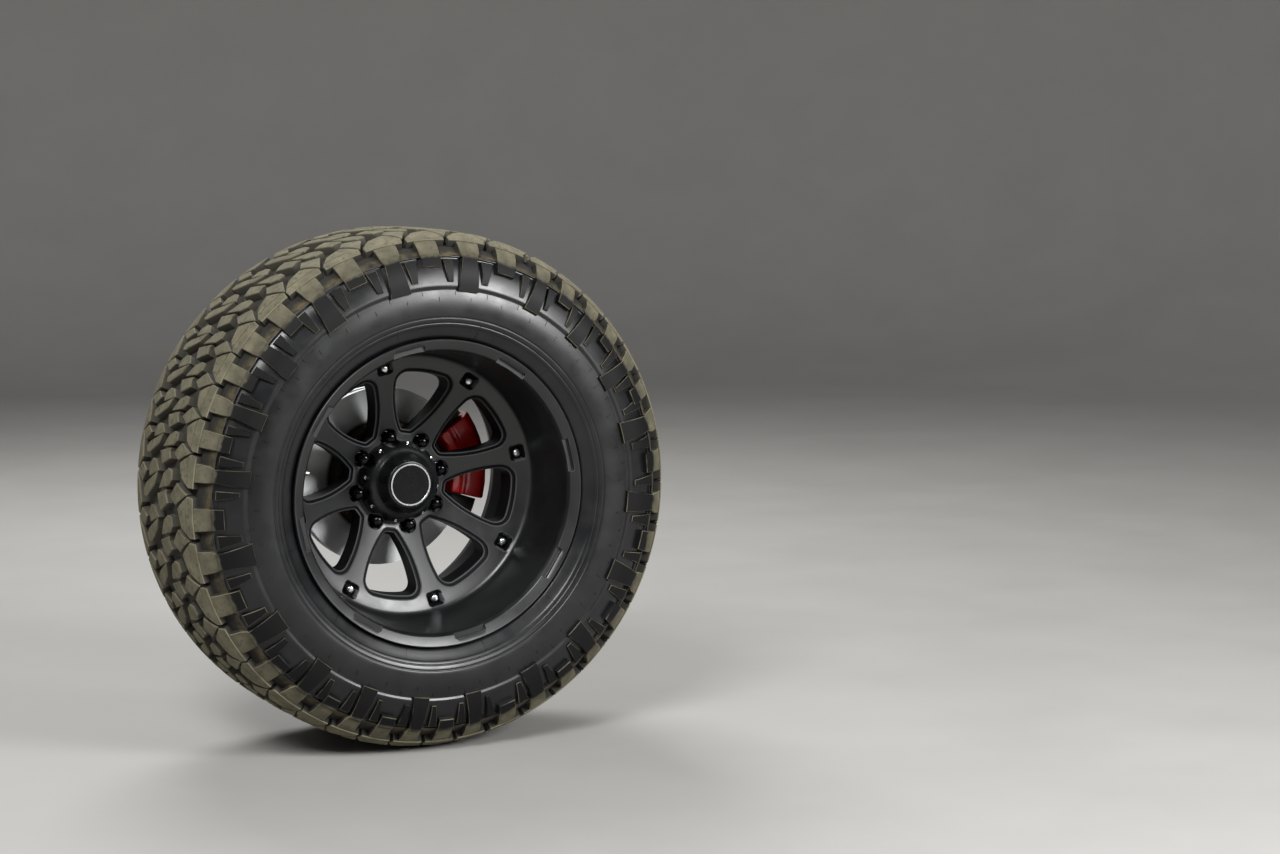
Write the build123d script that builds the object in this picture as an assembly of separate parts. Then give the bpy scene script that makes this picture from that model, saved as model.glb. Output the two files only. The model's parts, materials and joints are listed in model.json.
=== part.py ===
from build123d import *
from math import cos, sin, sqrt, tan, radians
import os

# Front left wheel end of a lifted four-wheel-drive truck: an off-road tyre on a deep-dish
# eight-spoke wheel, the hub and vented brake disc that turn with it, and the steering
# knuckle that carries the hub bearing and the floating brake caliper.
#
# Millimetres, +Z up, -X forward, -Y outboard. Each piece is drawn about the axle line, which
# is the Y axis there, with Y = 0 where the steering axis crosses it. The finished pieces are
# then placed so that the origin is the middle of the lower ball joint's bore, where the
# suspension holds the assembly. Names ending in _D are depths measured inboard from the
# outboard edge of the wheel, and names ending in _R are distances from an axis.

# Wheel and its place
WHEEL_WIDTH = 384.0        # over both flanges of a 14 inch wide wheel
PAD_Y = -100.0             # mounting pad of the wheel, against the brake disc
PAD_BEHIND_CENTRE = 76.0   # pad lies this far inboard of the wheel's mid plane
MID_Y = PAD_Y - PAD_BEHIND_CENTRE
EDGE_Y = MID_Y - WHEEL_WIDTH / 2
FLANGE_R = 297.0
SEAT_R = 279.4             # bead seat of a 22 inch wheel
FLANGE_THICK = 14.2
BARREL_R = 270.0           # tyre side of the barrel
WELL_R = 258.0
WELL_WALL = 8.0
LIP_R = 277.5              # inner edge of the lip's bevel
LIP_DEPTH = 9.0
DISH_FRONT_R = 272.0       # dish just behind the lip
DISH_BACK_R = 261.0        # dish where it rounds into the spokes
DISH_DEPTH = 150.0
BARREL_D = 262.0           # the barrel behind the spokes is a solid of its own from here

# Spokes, windows and the bolts at the spoke ends
SPOKES = 8
SPOKE_START = 12.4         # angle of the first spoke, from +X towards +Z
SPOKE_PITCH = 360.0 / SPOKES
FACE_RIM_R = 230.0         # spoke face meets the dish
FACE_RIM_D = 160.0
FACE_HUB_R = 92.0          # spoke face meets the hub's flat front
HUB_FRONT_D = 225.0
BACK_RIM_R = 232.0
BACK_RIM_D = 214.0
SPOKE_END_R = 214.0        # the centre with its spokes is set into the rim here
WINDOW_IN_R = 104.0
WINDOW_MID_R = 162.0
WINDOW_OUT_R = 222.0
SPOKE_HALF_IN = 31.0       # half the spoke's width beside each of those radii
SPOKE_HALF_MID = 21.5
SPOKE_HALF_OUT = 29.0
WINDOW_INNER_ROUND = 7.0
WINDOW_OUTER_ROUND = 20.0
LEDGE_WIDTH = 7.0
LEDGE_DEPTH = 5.0
POCKET_IN_R = 226.0
POCKET_OUT_R = 247.0
POCKET_WIDTH = 25.0
POCKET_D = 172.0
SPOKE_BOLT_R = 236.0
SPOKE_BOLT_HEAD_R = 8.0
SPOKE_BOLT_HEIGHT = 15.0
SLOT_IN_R = 274.0          # long slots in the lip
SLOT_OUT_R = 285.0
SLOT_LENGTH = 66.0
SLOT_D = 12.0

# Fastening of the wheel
STUDS = 8
STUD_CIRCLE_R = 90.0
STUD_R = 7.0
STUD_HOLE_R = 8.0
NUT_R = 11.5
NUT_LENGTH = 40.0
NUT_POCKET_R = 16.0
NUT_SEAT_D = 243.0
CENTRE_BORE_R = 62.05
PILOT_GAP = 0.25

# Tyre
TYRE_R = 505.0
TYRE_HALF = 212.0          # half the width over the shoulder lugs
SIDE_HALF = 207.0          # half the width over the plain sidewalls
TREAD_DEPTH = 16.7
BEAD_GAP = 0.3
LUG_ROOT = 5.0             # how far blocks and lugs reach into the carcass

# Tread. The pitch from one long lug to the next varies round the tyre, against noise.
PITCHES = {"L": 20.2, "M": 18.0, "S": 15.8}
PITCH_ORDER = "LLSSSLLLMMSSSMLLSSML"
FIRST_LUG = 102.33         # angle of the first long lug, and the others follow clockwise
INBOARD_SHIFT = -11.9      # degrees from an outboard lug to its inboard fellow

# Outlines in half a long pitch: degrees from the lug's centre, mm outboard of the mid plane
SHOULDER_BLOCK = [(1.9, 133), (-1.9, 124), (-4.7, 156), (-4.7, 170), (4.5, 170)]
KITE = [(-4.1, 87), (-2.4, 115), (-5.1, 156), (-7.25, 120)]
INBOARD_KITE = [(-6.9, -127), (-5.1, -93), (-7.6, -67), (-9.1, -97)]
CENTRE_BLOCKS = [
    [(-0.2, 32), (-3.5, 10), (-9.2, 48), (-9.6, 91), (-6.6, 91)],
    [(-1.8, -76), (-4.2, -80), (-10.2, -46), (-8.3, 9), (-4.9, -11)],
]
# Lugs down the shoulder: degrees from the lug's centre, mm in from the tread
LONG_LUG = [(2.7, 15), (3.2, 119), (-2.7, 119), (-2.5, 15)]
SHORT_LUG = [(2.8, 15), (2.8, 67), (-2.1, 67), (-2.3, 15)]

# Centre cap
CAP_R = 84.0
CAP_HEIGHT = 65.0
CAP_TOP_D = HUB_FRONT_D - CAP_HEIGHT
CAP_SHOULDER_D = CAP_TOP_D + 28.0
CAP_WALL = 4.0
CAP_SCALLOP_R = 17.0
CAP_CAVITY_R = 68.0
EMBLEM_R = 42.0
EMBLEM_THICK = 2.5
EMBLEM_RING_WIDTH = 4.0
EMBLEM_RING_HEIGHT = 1.5
CAP_SCREW_R = 3.8
CAP_SCREW_CIRCLE_R = 77.0
CAP_SCREW_SINK = 17.0      # screw seats below the hub's flat front, inside the cap's edge

# Valve
VALVE_ANGLE = 169.9
VALVE_D = 118.0
VALVE_R = 5.0
VALVE_LENGTH = 34.0

# Hub, brake disc and bearing
DISC_R = 180.0
DISC_INNER_R = 118.0
DISC_THICK = 38.0
DISC_PLATE = 12.0
DISC_FACE_Y = -56.0
HAT_THICK = 8.0
HAT_R = 112.0
HAT_WALL = 7.0
VANES = 36
VANE_THICK = 5.0
HUB_FLANGE_R = 101.0
HUB_FLANGE_THICK = 18.0
HUB_PILOT_LENGTH = 22.0
HUB_SPINDLE_R = 42.0
HUB_END_Y = 18.0
SPLINE_R = 19.0
BEARING_GAP = 0.3
BEARING_R = 56.0
BEARING_FRONT_Y = -69.0
BEARING_FLANGE_R = 84.0
BEARING_FLANGE_THICK = 14.0
BEARING_SPIGOT_R = 51.0
BEARING_BOLTS = 4
BEARING_BOLT_CIRCLE_R = 70.0
BEARING_BOLT_R = 7.0
BOLT_HEAD_R = 11.0
BOLT_HEAD_THICK = 9.0

# Knuckle
PLATE_Y = -10.0            # outboard face of the knuckle
PLATE_THICK = 36.0
PLATE_R = 90.0
SHIELD_THICK = 2.0
SHIELD_R = 174.0
STEER_LEAN = 8.0           # the steering axis leans inboard at its top
STEER_Y = 54.0             # and crosses the axle line here
BALL_Z = 165.0             # middle of each ball-joint boss
BALL_BOSS_R = 25.0
BALL_BOSS_LENGTH = 40.0
BALL_BORE_R = 11.0
BALL_NUT_R = 19.0          # room for the nut on the ball joint's stud
BALL_NUT_LENGTH = 26.0
BALL_REACH = BALL_Z * tan(radians(STEER_LEAN))
ARM_WIDTH = 58.0
TIE_ROD_X = -168.0
TIE_ROD_Y = 34.0
TIE_ROD_Z = -70.0
TIE_ROD_BOSS_R = 21.0
TIE_ROD_BOSS_LENGTH = 34.0
TIE_ROD_BORE_R = 9.0

# Caliper, its bracket and pads
CALIPER_ANGLE = 10.0       # middle of the caliper, from +X towards +Z
CALIPER_HALF_SPAN = 25.0   # degrees
BRIDGE_GAP = 7.0           # between the disc's edge and the caliper's bridge
BRIDGE_THICK = 31.0
BRIDGE_IN_R = DISC_R + BRIDGE_GAP
CALIPER_OUT_R = BRIDGE_IN_R + BRIDGE_THICK
FINGER_THICK = 23.0
PAD_GAP = 0.5
PAD_THICK = 17.0
PAD_HEIGHT = 51.0
PAD_OUT_R = DISC_R - 3.0
PAD_IN_R = PAD_OUT_R - PAD_HEIGHT
FINGER_IN_R = PAD_IN_R + 6.0
PAD_HALF_SPAN = 22.0
PISTON_R = 27.0
PISTON_SPREAD = 36.0       # each piston's distance from the caliper's middle line
PISTON_CIRCLE_R = (PAD_IN_R + PAD_OUT_R) / 2
PISTON_SHOW = 8.0
CYLINDER_LENGTH = 46.0
CYLINDER_WALL = 7.0
BRACKET_HALF_SPAN = 36.0
BRACKET_LEG_IN_SPAN = 26.0
BRACKET_IN_R = 100.0
BRACKET_BEAM_R = 122.0
BRACKET_FRONT_Y = -8.0
BRACKET_THICK = 16.0
EAR_ANGLE = 30.0           # bracket bolts, each side of the caliper's middle
EAR_CIRCLE_R = 111.0
EAR_R = 17.0
EAR_BOLT_R = 7.0
SLIDE_PIN_R = 5.0
SLIDE_PIN_CIRCLE_R = BRIDGE_IN_R + 9.0
BRACKET_OUT_R = SLIDE_PIN_CIRCLE_R + 10.0
SLIDE_PIN_ANGLE = 31.0
PIN_REACH = 8.0            # how far a slide pin goes into the bracket past its beam
PIN_HEAD_R = 9.0
PIN_HEAD_THICK = 8.0
PIN_EAR_R = 11.0
PIN_EAR_BACK = 16.0        # the ears' back face, from the front of the caliper's body
PIN_EAR_THICK = 14.0
PORT_R = 5.0
PORT_BOSS_R = 10.0
PORT_DEPTH = 14.0
PIN_PLAY = 0.3             # round the slide pins and the bracket bolts

FAR = 600.0                # reach of a cutter that passes everything


def y_of(depth):
    """Y of a point that lies depth inboard of the wheel's outboard edge."""
    return EDGE_Y + depth


def at_angle(shape, angle):
    """Turn a shape about the axle line, from +X towards +Z."""
    return Rot(0, -angle, 0) * shape


def round_wheel(shape, count, start):
    """Copies of a shape, evenly round the axle line."""
    return [at_angle(shape, start + k * 360.0 / count) for k in range(count)]


def turned(points, angle=360.0):
    """A solid turned about the axle line from (radius, y) points."""
    return revolve(make_face(Polyline(*points, close=True)), Axis.Y, angle)


def prism(face, y_low, y_high):
    """A face drawn as seen from outboard, X right and Z up, made solid between two Y."""
    return extrude(Plane.XZ.offset(-y_high) * face, amount=y_high - y_low)


def rod(radius, y_low, y_high, x=0.0, z=0.0):
    """A round bar along Y."""
    return prism(Pos(x, z) * Circle(radius), y_low, y_high)


def sector(r_in, r_out, y_low, y_high, half_span, middle=0.0):
    """A piece of a ring about the axle line, half_span degrees each side of middle."""
    points = [(r_in, y_low), (r_out, y_low), (r_out, y_high), (r_in, y_high)]
    return at_angle(turned(points, 2 * half_span), middle + half_span)


def mirrored_section(points):
    """Close a half section of (radius, y) points with its mirror image in the mid plane."""
    return points + [(r, 2 * MID_Y - y) for r, y in reversed(points)]


def tyre_height(share):
    """Radius at a share of the way from the bead seat up to the tread."""
    return SEAT_R + share * (TYRE_R - SEAT_R)


def make_carcass():
    """Tyre without its blocks and lugs, with its air space."""
    bead = WHEEL_WIDTH / 2 - FLANGE_THICK - BEAD_GAP
    # outside, from the bead up to the tread: radius, mm from the mid plane
    outside = [
        (SEAT_R + BEAD_GAP, bead - 30), (SEAT_R + BEAD_GAP, bead), (FLANGE_R - 4, bead),
        (FLANGE_R + 6, WHEEL_WIDTH / 2 - 6), (tyre_height(0.22), SIDE_HALF - 5),
        (tyre_height(0.31), SIDE_HALF), (tyre_height(0.54), SIDE_HALF - 2),
        (tyre_height(0.71), SIDE_HALF - 15), (tyre_height(0.77), SIDE_HALF - 23),
        (tyre_height(0.78), SIDE_HALF - 19), (TYRE_R - 26, SIDE_HALF - 61),
        (TYRE_R - TREAD_DEPTH, SIDE_HALF - 115),
    ]
    # inside, from the bead toe up to the crown: radius, mm from the mid plane
    inside = [
        (SEAT_R + 23, bead - 24), (tyre_height(0.27), SIDE_HALF - 17),
        (tyre_height(0.51), SIDE_HALF - 11), (tyre_height(0.71), SIDE_HALF - 29),
        (TYRE_R - 37, SIDE_HALF - 75),
    ]
    half = list(reversed(inside)) + outside
    return turned(mirrored_section([(r, MID_Y - across) for r, across in half]))


def shoulder_band(side):
    """Straight band over one shoulder, as deep as its blocks and lugs. Side 1 is outboard."""
    # tops, then back through the rubber under them: radius, mm from the mid plane
    section = [
        (TYRE_R - 1.5, TYRE_HALF - 130), (TYRE_R - 9, TYRE_HALF - 55),
        (TYRE_R - 33, TYRE_HALF - 26), (tyre_height(0.71), TYRE_HALF - 8),
        (tyre_height(0.44), TYRE_HALF), (tyre_height(0.44), SIDE_HALF - 2 - LUG_ROOT),
        (tyre_height(0.54), SIDE_HALF - 2 - LUG_ROOT),
        (tyre_height(0.71), SIDE_HALF - 15 - LUG_ROOT),
        (TYRE_R - 38, SIDE_HALF - 42), (TYRE_R - TREAD_DEPTH - 10, SIDE_HALF - 80),
        (TYRE_R - TREAD_DEPTH - 10, SIDE_HALF - 125),
    ]
    outline = Polyline(*[(MID_Y - side * across, r) for r, across in section], close=True)
    return extrude(Plane.YZ.offset(-TYRE_HALF) * make_face(outline), amount=2 * TYRE_HALF)


def tread_block(outline, stretch):
    """Block that stands out along +Z from far under the tread to past it."""
    mm_per_degree = radians(TYRE_R) * stretch
    points = [(-turn * mm_per_degree, MID_Y - across) for turn, across in outline]
    low = TYRE_R - 3.5 * TREAD_DEPTH
    return extrude(Plane.XY.offset(low) * make_face(Polyline(*points, close=True)),
                   amount=4.5 * TREAD_DEPTH)


def centred_block(outline, stretch, shape):
    """Block cut to a shape at +Z about its own middle, then turned to its place."""
    middle = sum(turn for turn, across in outline) / len(outline)
    centred = [(turn - middle, across) for turn, across in outline]
    return at_angle(tread_block(centred, stretch) & shape, middle * stretch)


def shoulder_lug(outline, stretch, side):
    """Lug at +Z down one shoulder, past the sidewall."""
    points = []
    for turn, inward in outline:
        angle = radians(turn * stretch)
        radius = TYRE_R - inward
        points.append((-radius * sin(angle), radius * cos(angle)))
    ends = [MID_Y - side * across for across in (TYRE_HALF + 10, TYRE_HALF - 62)]
    return prism(make_face(Polyline(*points, close=True)), min(ends), max(ends))


def shoulder(stretch, lug, side):
    """Shoulder block at +Z with the lug that runs on from it. The inboard one is turned round."""
    block_outline = [(side * turn, side * across) for turn, across in SHOULDER_BLOCK]
    lug_outline = [(side * turn, inward) for turn, inward in lug]
    block = tread_block(block_outline, stretch)
    return (block + shoulder_lug(lug_outline, stretch, side)) & shoulder_band(side)


def half_pitch(stretch, lug):
    """Blocks and lugs of half a pitch, with the outboard lug at +Z."""
    crown = rod(TYRE_R, -FAR, FAR) - rod(TYRE_R - TREAD_DEPTH - 2 * LUG_ROOT, -FAR, FAR)
    pieces = [centred_block(outline, stretch, crown) for outline in CENTRE_BLOCKS]
    return pieces + [
        centred_block(KITE, stretch, shoulder_band(1)),
        centred_block(INBOARD_KITE, stretch, shoulder_band(-1)),
        shoulder(stretch, lug, 1), at_angle(shoulder(stretch, lug, -1), INBOARD_SHIFT * stretch)]


def make_tyre():
    """Carcass with its tread blocks and shoulder lugs, moulded as one."""
    halves = {}
    for name, pitch in PITCHES.items():
        stretch = pitch / PITCHES["L"]
        halves[name] = half_pitch(stretch, LONG_LUG), half_pitch(stretch, SHORT_LUG)
    pieces = []
    angle = FIRST_LUG
    for name in PITCH_ORDER:
        long_half, short_half = halves[name]
        pieces += [at_angle(piece, angle - 90) for piece in long_half]
        angle -= PITCHES[name] / 2
        pieces += [at_angle(piece, angle - 90) for piece in short_half]
        angle -= PITCHES[name] / 2
    return make_carcass() + pieces


def rim_section():
    """Half section of the wheel: barrel, flanges, and the disc that the spokes are cut from."""
    w = WHEEL_WIDTH
    # radius, depth
    points = [
        (FLANGE_R - 2, 0),
        (FLANGE_R, 3),
        (FLANGE_R, FLANGE_THICK - 5),
        (FLANGE_R - 6, FLANGE_THICK),
        (SEAT_R, FLANGE_THICK),
        (SEAT_R - 1.8, FLANGE_THICK + 24),
        (BARREL_R + 1, FLANGE_THICK + 42),
        (BARREL_R, w - 132),
        (WELL_R, w - 118),
        (WELL_R, w - 66),
        (SEAT_R - 1.8, w - FLANGE_THICK - 28),
        (SEAT_R, w - FLANGE_THICK),
        (FLANGE_R - 6, w - FLANGE_THICK),
        (FLANGE_R, w - FLANGE_THICK + 5),
        (FLANGE_R, w - 3),
        (FLANGE_R - 2, w),
        (SEAT_R - 8, w),
        (SEAT_R - 12, w - 34),
        (WELL_R - WELL_WALL, w - 60),
        (WELL_R - WELL_WALL, w - 122),
        (BACK_RIM_R + 8, BACK_RIM_D + 18),
        (BACK_RIM_R, BACK_RIM_D),
        (HAT_R, PAD_Y - EDGE_Y),
        (CENTRE_BORE_R, PAD_Y - EDGE_Y),
        (CENTRE_BORE_R, HUB_FRONT_D),
        (FACE_HUB_R, HUB_FRONT_D),
        (FACE_RIM_R, FACE_RIM_D),
        (FACE_RIM_R + 14, FACE_RIM_D - 4),
        (DISH_BACK_R, DISH_DEPTH),
        (DISH_FRONT_R, LIP_DEPTH + 9),
        (LIP_R, LIP_DEPTH),
    ]
    return [(r, y_of(d)) for r, d in points]


def window_face(margin=0.0):
    """Opening between two spokes, centred on +X as seen from outboard, grown by margin."""
    half = radians(SPOKE_PITCH / 2)

    def beside_spoke(radius, half_width):
        along = sqrt(radius**2 - half_width**2)
        x = along * cos(half) + half_width * sin(half)
        z = along * sin(half) - half_width * cos(half)
        return x, z

    out_r = WINDOW_OUT_R + margin
    inner = beside_spoke(WINDOW_IN_R - margin, SPOKE_HALF_IN - margin)
    middle = beside_spoke(WINDOW_MID_R, SPOKE_HALF_MID - margin)
    outer = beside_spoke(out_r, SPOKE_HALF_OUT - margin)
    upper = ThreePointArc(inner, middle, outer)
    lower = ThreePointArc((outer[0], -outer[1]), (middle[0], -middle[1]), (inner[0], -inner[1]))
    rim_side = ThreePointArc(outer, (out_r, 0), (outer[0], -outer[1]))
    hub_side = Line((inner[0], -inner[1]), inner)
    face = make_face(upper + rim_side + lower + hub_side)
    corners = face.vertices().sort_by(Axis.X)
    face = fillet(corners[2:], WINDOW_OUTER_ROUND + margin)
    return fillet(face.vertices().sort_by(Axis.X)[:2], WINDOW_INNER_ROUND + margin)


def cut_windows(casting):
    """Open the eight stepped windows in either piece of the wheel."""
    through = prism(window_face(), y_of(0), y_of(WHEEL_WIDTH))
    slope = (HUB_FRONT_D - FACE_RIM_D) / (FACE_RIM_R - FACE_HUB_R)
    ledge_in_d = HUB_FRONT_D + LEDGE_DEPTH
    ledge_out_d = ledge_in_d - slope * (POCKET_OUT_R - FACE_HUB_R)
    above_ledge = turned([(FACE_HUB_R, y_of(0)), (POCKET_OUT_R, y_of(0)),
                          (POCKET_OUT_R, y_of(ledge_out_d)), (FACE_HUB_R, y_of(ledge_in_d))])
    ledge = prism(window_face(LEDGE_WIDTH), y_of(0), y_of(WHEEL_WIDTH)) & above_ledge
    between = SPOKE_START + SPOKE_PITCH / 2
    casting -= round_wheel(through, SPOKES, between)
    return casting - round_wheel(ledge, SPOKES, between)


def outside_centre(y_low, y_high):
    """All space round the wheel's centre between two Y."""
    return rod(FAR, y_low, y_high) - rod(SPOKE_END_R, y_low, y_high)


def make_rim():
    """Dish with its lip and the ring that the spokes run into, pocketed for their bolts."""
    rim = cut_windows(turned(rim_section()) & outside_centre(-FAR, y_of(BARREL_D)))
    pocket = prism(Pos((POCKET_IN_R + POCKET_OUT_R) / 2, 0)
                   * Rectangle(POCKET_OUT_R - POCKET_IN_R, POCKET_WIDTH), y_of(0), y_of(POCKET_D))
    bolt_hole = rod(SPOKE_BOLT_HEAD_R / 2, y_of(0), y_of(POCKET_D + 18), SPOKE_BOLT_R)
    slot = prism(Pos((SLOT_IN_R + SLOT_OUT_R) / 2, 0)
                 * Rectangle(SLOT_OUT_R - SLOT_IN_R, SLOT_LENGTH), y_of(0), y_of(SLOT_D))
    rim -= round_wheel(pocket, SPOKES, SPOKE_START)
    rim -= round_wheel(bolt_hole, SPOKES, SPOKE_START)
    rim -= round_wheel(slot, SPOKES, SPOKE_START)
    return rim - at_angle(valve_hole(), VALVE_ANGLE)


def make_barrel():
    """Barrel behind the spokes, with the inboard flange."""
    return turned(rim_section()) & outside_centre(y_of(BARREL_D), FAR)


def make_centre():
    """Centre of the wheel: hub with its nut pockets, and the eight spokes."""
    centre = cut_windows(turned(rim_section()) & rod(SPOKE_END_R, -FAR, FAR))
    nut_pocket = rod(NUT_POCKET_R, y_of(0), y_of(NUT_SEAT_D), STUD_CIRCLE_R)
    stud_hole = rod(STUD_HOLE_R, y_of(0), PAD_Y, STUD_CIRCLE_R)
    centre -= round_wheel(nut_pocket, STUDS, SPOKE_START)
    return centre - round_wheel(stud_hole, STUDS, SPOKE_START)


def valve_hole():
    """Radial hole through the dish for the valve."""
    return Pos(0, y_of(VALVE_D), 0) * Rot(0, 90, 0) * Cylinder(
        VALVE_R, FAR, align=(Align.CENTER, Align.CENTER, Align.MIN))


def make_valve():
    """Metal valve with its rubber seat, standing in from the dish."""
    slope = (DISH_FRONT_R - DISH_BACK_R) / (DISH_DEPTH - LIP_DEPTH)
    seat_r = DISH_FRONT_R - slope * (VALVE_D - LIP_DEPTH)
    low = seat_r - VALVE_LENGTH
    stem = Cylinder(VALVE_R - 0.3, BARREL_R - low, align=(Align.CENTER, Align.CENTER, Align.MIN))
    nut = Cylinder(VALVE_R + 4, 6, align=(Align.CENTER, Align.CENTER, Align.MAX))
    valve = Pos(0, 0, low) * stem + Pos(0, 0, seat_r - 2.5) * nut
    return at_angle(Pos(0, y_of(VALVE_D), 0) * Rot(0, 90, 0) * valve, VALVE_ANGLE)


def make_spoke_bolts():
    """Domed bolt in the pocket at the end of each spoke."""
    top = POCKET_D - SPOKE_BOLT_HEIGHT
    r = SPOKE_BOLT_HEAD_R
    section = [(0, y_of(POCKET_D + 16)), (r / 2 - 0.3, y_of(POCKET_D + 16)),
               (r / 2 - 0.3, y_of(POCKET_D)), (r, y_of(POCKET_D)), (r, y_of(top + 5)),
               (r * 0.8, y_of(top + 1.5)), (r * 0.4, y_of(top)), (0, y_of(top))]
    bolt = Pos(SPOKE_BOLT_R, 0, 0) * turned(section)
    return Compound(round_wheel(bolt, SPOKES, SPOKE_START))


def make_cap():
    """Deep cap over the hub, scalloped round the wheel nuts."""
    # outside and cavity: radius, depth
    outer = [(0, y_of(CAP_TOP_D)), (EMBLEM_R + 4, y_of(CAP_TOP_D)),
             (EMBLEM_R + 8, y_of(CAP_TOP_D + 12)), (EMBLEM_R + 18, y_of(CAP_SHOULDER_D - 2)),
             (CAP_R - 12, y_of(CAP_SHOULDER_D + 5)), (CAP_R - 2, y_of(CAP_SHOULDER_D + 20)),
             (CAP_R, y_of(HUB_FRONT_D)), (0, y_of(HUB_FRONT_D))]
    inner = [(0, y_of(CAP_TOP_D + CAP_WALL)), (EMBLEM_R, y_of(CAP_TOP_D + CAP_WALL)),
             (EMBLEM_R + 12, y_of(CAP_SHOULDER_D + CAP_WALL)),
             (CAP_CAVITY_R, y_of(CAP_SHOULDER_D + 20)), (CAP_CAVITY_R, y_of(HUB_FRONT_D)),
             (0, y_of(HUB_FRONT_D))]
    cap = turned(outer) - turned(inner)
    scallop = rod(CAP_SCALLOP_R, y_of(0), y_of(HUB_FRONT_D), STUD_CIRCLE_R)
    seat = y_of(HUB_FRONT_D - CAP_SCREW_SINK)
    head = rod(CAP_SCREW_R + 0.3, y_of(0), seat, CAP_SCREW_CIRCLE_R)
    cap -= round_wheel(scallop, STUDS, SPOKE_START)
    cap -= round_wheel(head, STUDS, SPOKE_START + SPOKE_PITCH / 2)
    return cap


def make_emblem():
    """Plain round plate with a raised ring."""
    low = y_of(CAP_TOP_D)
    plate = rod(EMBLEM_R, low - EMBLEM_THICK, low)
    ring = rod(EMBLEM_R, low - EMBLEM_THICK - EMBLEM_RING_HEIGHT, low - EMBLEM_THICK)
    return plate + (ring - rod(EMBLEM_R - EMBLEM_RING_WIDTH, -FAR, 0))


def make_cap_screws():
    """Small screws that hold the cap, in the lobes between the nuts."""
    seat = y_of(HUB_FRONT_D - CAP_SCREW_SINK)
    screw = rod(CAP_SCREW_R, seat - 4, seat, CAP_SCREW_CIRCLE_R)
    return Compound(round_wheel(screw, STUDS, SPOKE_START + SPOKE_PITCH / 2))


def make_studs():
    """Wheel studs, pressed through the hub flange from behind."""
    back = PAD_Y + HAT_THICK + HUB_FLANGE_THICK
    stud = rod(STUD_R, y_of(NUT_SEAT_D) - NUT_LENGTH + 10, back, STUD_CIRCLE_R)
    stud += rod(STUD_R + 3, back, back + 4, STUD_CIRCLE_R)
    return Compound(round_wheel(stud, STUDS, SPOKE_START))


def make_nuts():
    """Closed six-sided wheel nuts with a tapered seat."""
    seat = y_of(NUT_SEAT_D)
    body = prism(Pos(STUD_CIRCLE_R, 0) * RegularPolygon(NUT_R, 6), seat - NUT_LENGTH, seat - 4)
    flange = rod(NUT_R + 2, seat - 6, seat, STUD_CIRCLE_R)
    bore = rod(STUD_R + 0.2, seat - NUT_LENGTH + 8, seat, STUD_CIRCLE_R)
    return Compound(round_wheel(body + flange - bore, STUDS, SPOKE_START))


def make_hub():
    """Driven hub: stud flange, pilot for the wheel and splined bore for the axle."""
    flange_front = PAD_Y + HAT_THICK
    flange_back = flange_front + HUB_FLANGE_THICK
    pilot_r = CENTRE_BORE_R - PILOT_GAP
    hub = turned([
        (SPLINE_R, PAD_Y - HUB_PILOT_LENGTH), (pilot_r, PAD_Y - HUB_PILOT_LENGTH),
        (pilot_r, flange_front), (HUB_FLANGE_R, flange_front), (HUB_FLANGE_R, flange_back),
        (HUB_SPINDLE_R, flange_back), (HUB_SPINDLE_R, HUB_END_Y), (SPLINE_R, HUB_END_Y)])
    hole = rod(STUD_R + 0.1, -FAR, FAR, STUD_CIRCLE_R)
    return hub - round_wheel(hole, STUDS, SPOKE_START)


def make_disc():
    """Vented brake disc with its hat, held between hub and wheel."""
    back = DISC_FACE_Y + DISC_THICK
    inner_r = CENTRE_BORE_R
    disc = turned([
        (inner_r, PAD_Y), (HAT_R, PAD_Y), (HAT_R, DISC_FACE_Y), (DISC_R, DISC_FACE_Y),
        (DISC_R, DISC_FACE_Y + DISC_PLATE), (HAT_R - HAT_WALL, DISC_FACE_Y + DISC_PLATE),
        (HAT_R - HAT_WALL, PAD_Y + HAT_THICK), (inner_r, PAD_Y + HAT_THICK)])
    disc += turned([(DISC_INNER_R, back - DISC_PLATE), (DISC_R, back - DISC_PLATE),
                    (DISC_R, back), (DISC_INNER_R, back)])
    vane_length = DISC_R - DISC_INNER_R - 4
    vane = prism(Pos(DISC_INNER_R + 2 + vane_length / 2, 0) * Rectangle(vane_length, VANE_THICK),
                 DISC_FACE_Y + DISC_PLATE, back - DISC_PLATE)
    disc += round_wheel(vane, VANES, 0)
    hole = rod(STUD_R + 0.6, -FAR, FAR, STUD_CIRCLE_R)
    return disc - round_wheel(hole, STUDS, SPOKE_START)


def make_bearing():
    """Outer housing of the hub bearing, its flange clamped to the knuckle."""
    flange_back = PLATE_Y - SHIELD_THICK
    flange_front = flange_back - BEARING_FLANGE_THICK
    bore = HUB_SPINDLE_R + BEARING_GAP
    housing = turned([
        (bore, BEARING_FRONT_Y), (BEARING_R, BEARING_FRONT_Y), (BEARING_R, flange_front),
        (BEARING_FLANGE_R, flange_front), (BEARING_FLANGE_R, flange_back),
        (BEARING_SPIGOT_R, flange_back), (BEARING_SPIGOT_R, HUB_END_Y - 4),
        (bore, HUB_END_Y - 4)])
    hole = rod(BEARING_BOLT_R + 0.2, flange_front, flange_back, BEARING_BOLT_CIRCLE_R)
    return housing - round_wheel(hole, BEARING_BOLTS, 45)


def make_bearing_bolts():
    """Bolts from behind the knuckle into the bearing flange."""
    back = PLATE_Y + PLATE_THICK
    front = PLATE_Y - SHIELD_THICK - BEARING_FLANGE_THICK
    bolt = rod(BEARING_BOLT_R, front, back, BEARING_BOLT_CIRCLE_R)
    bolt += prism(Pos(BEARING_BOLT_CIRCLE_R, 0) * RegularPolygon(BOLT_HEAD_R, 6),
                  back, back + BOLT_HEAD_THICK)
    return Compound(round_wheel(bolt, BEARING_BOLTS, 45))


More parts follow.
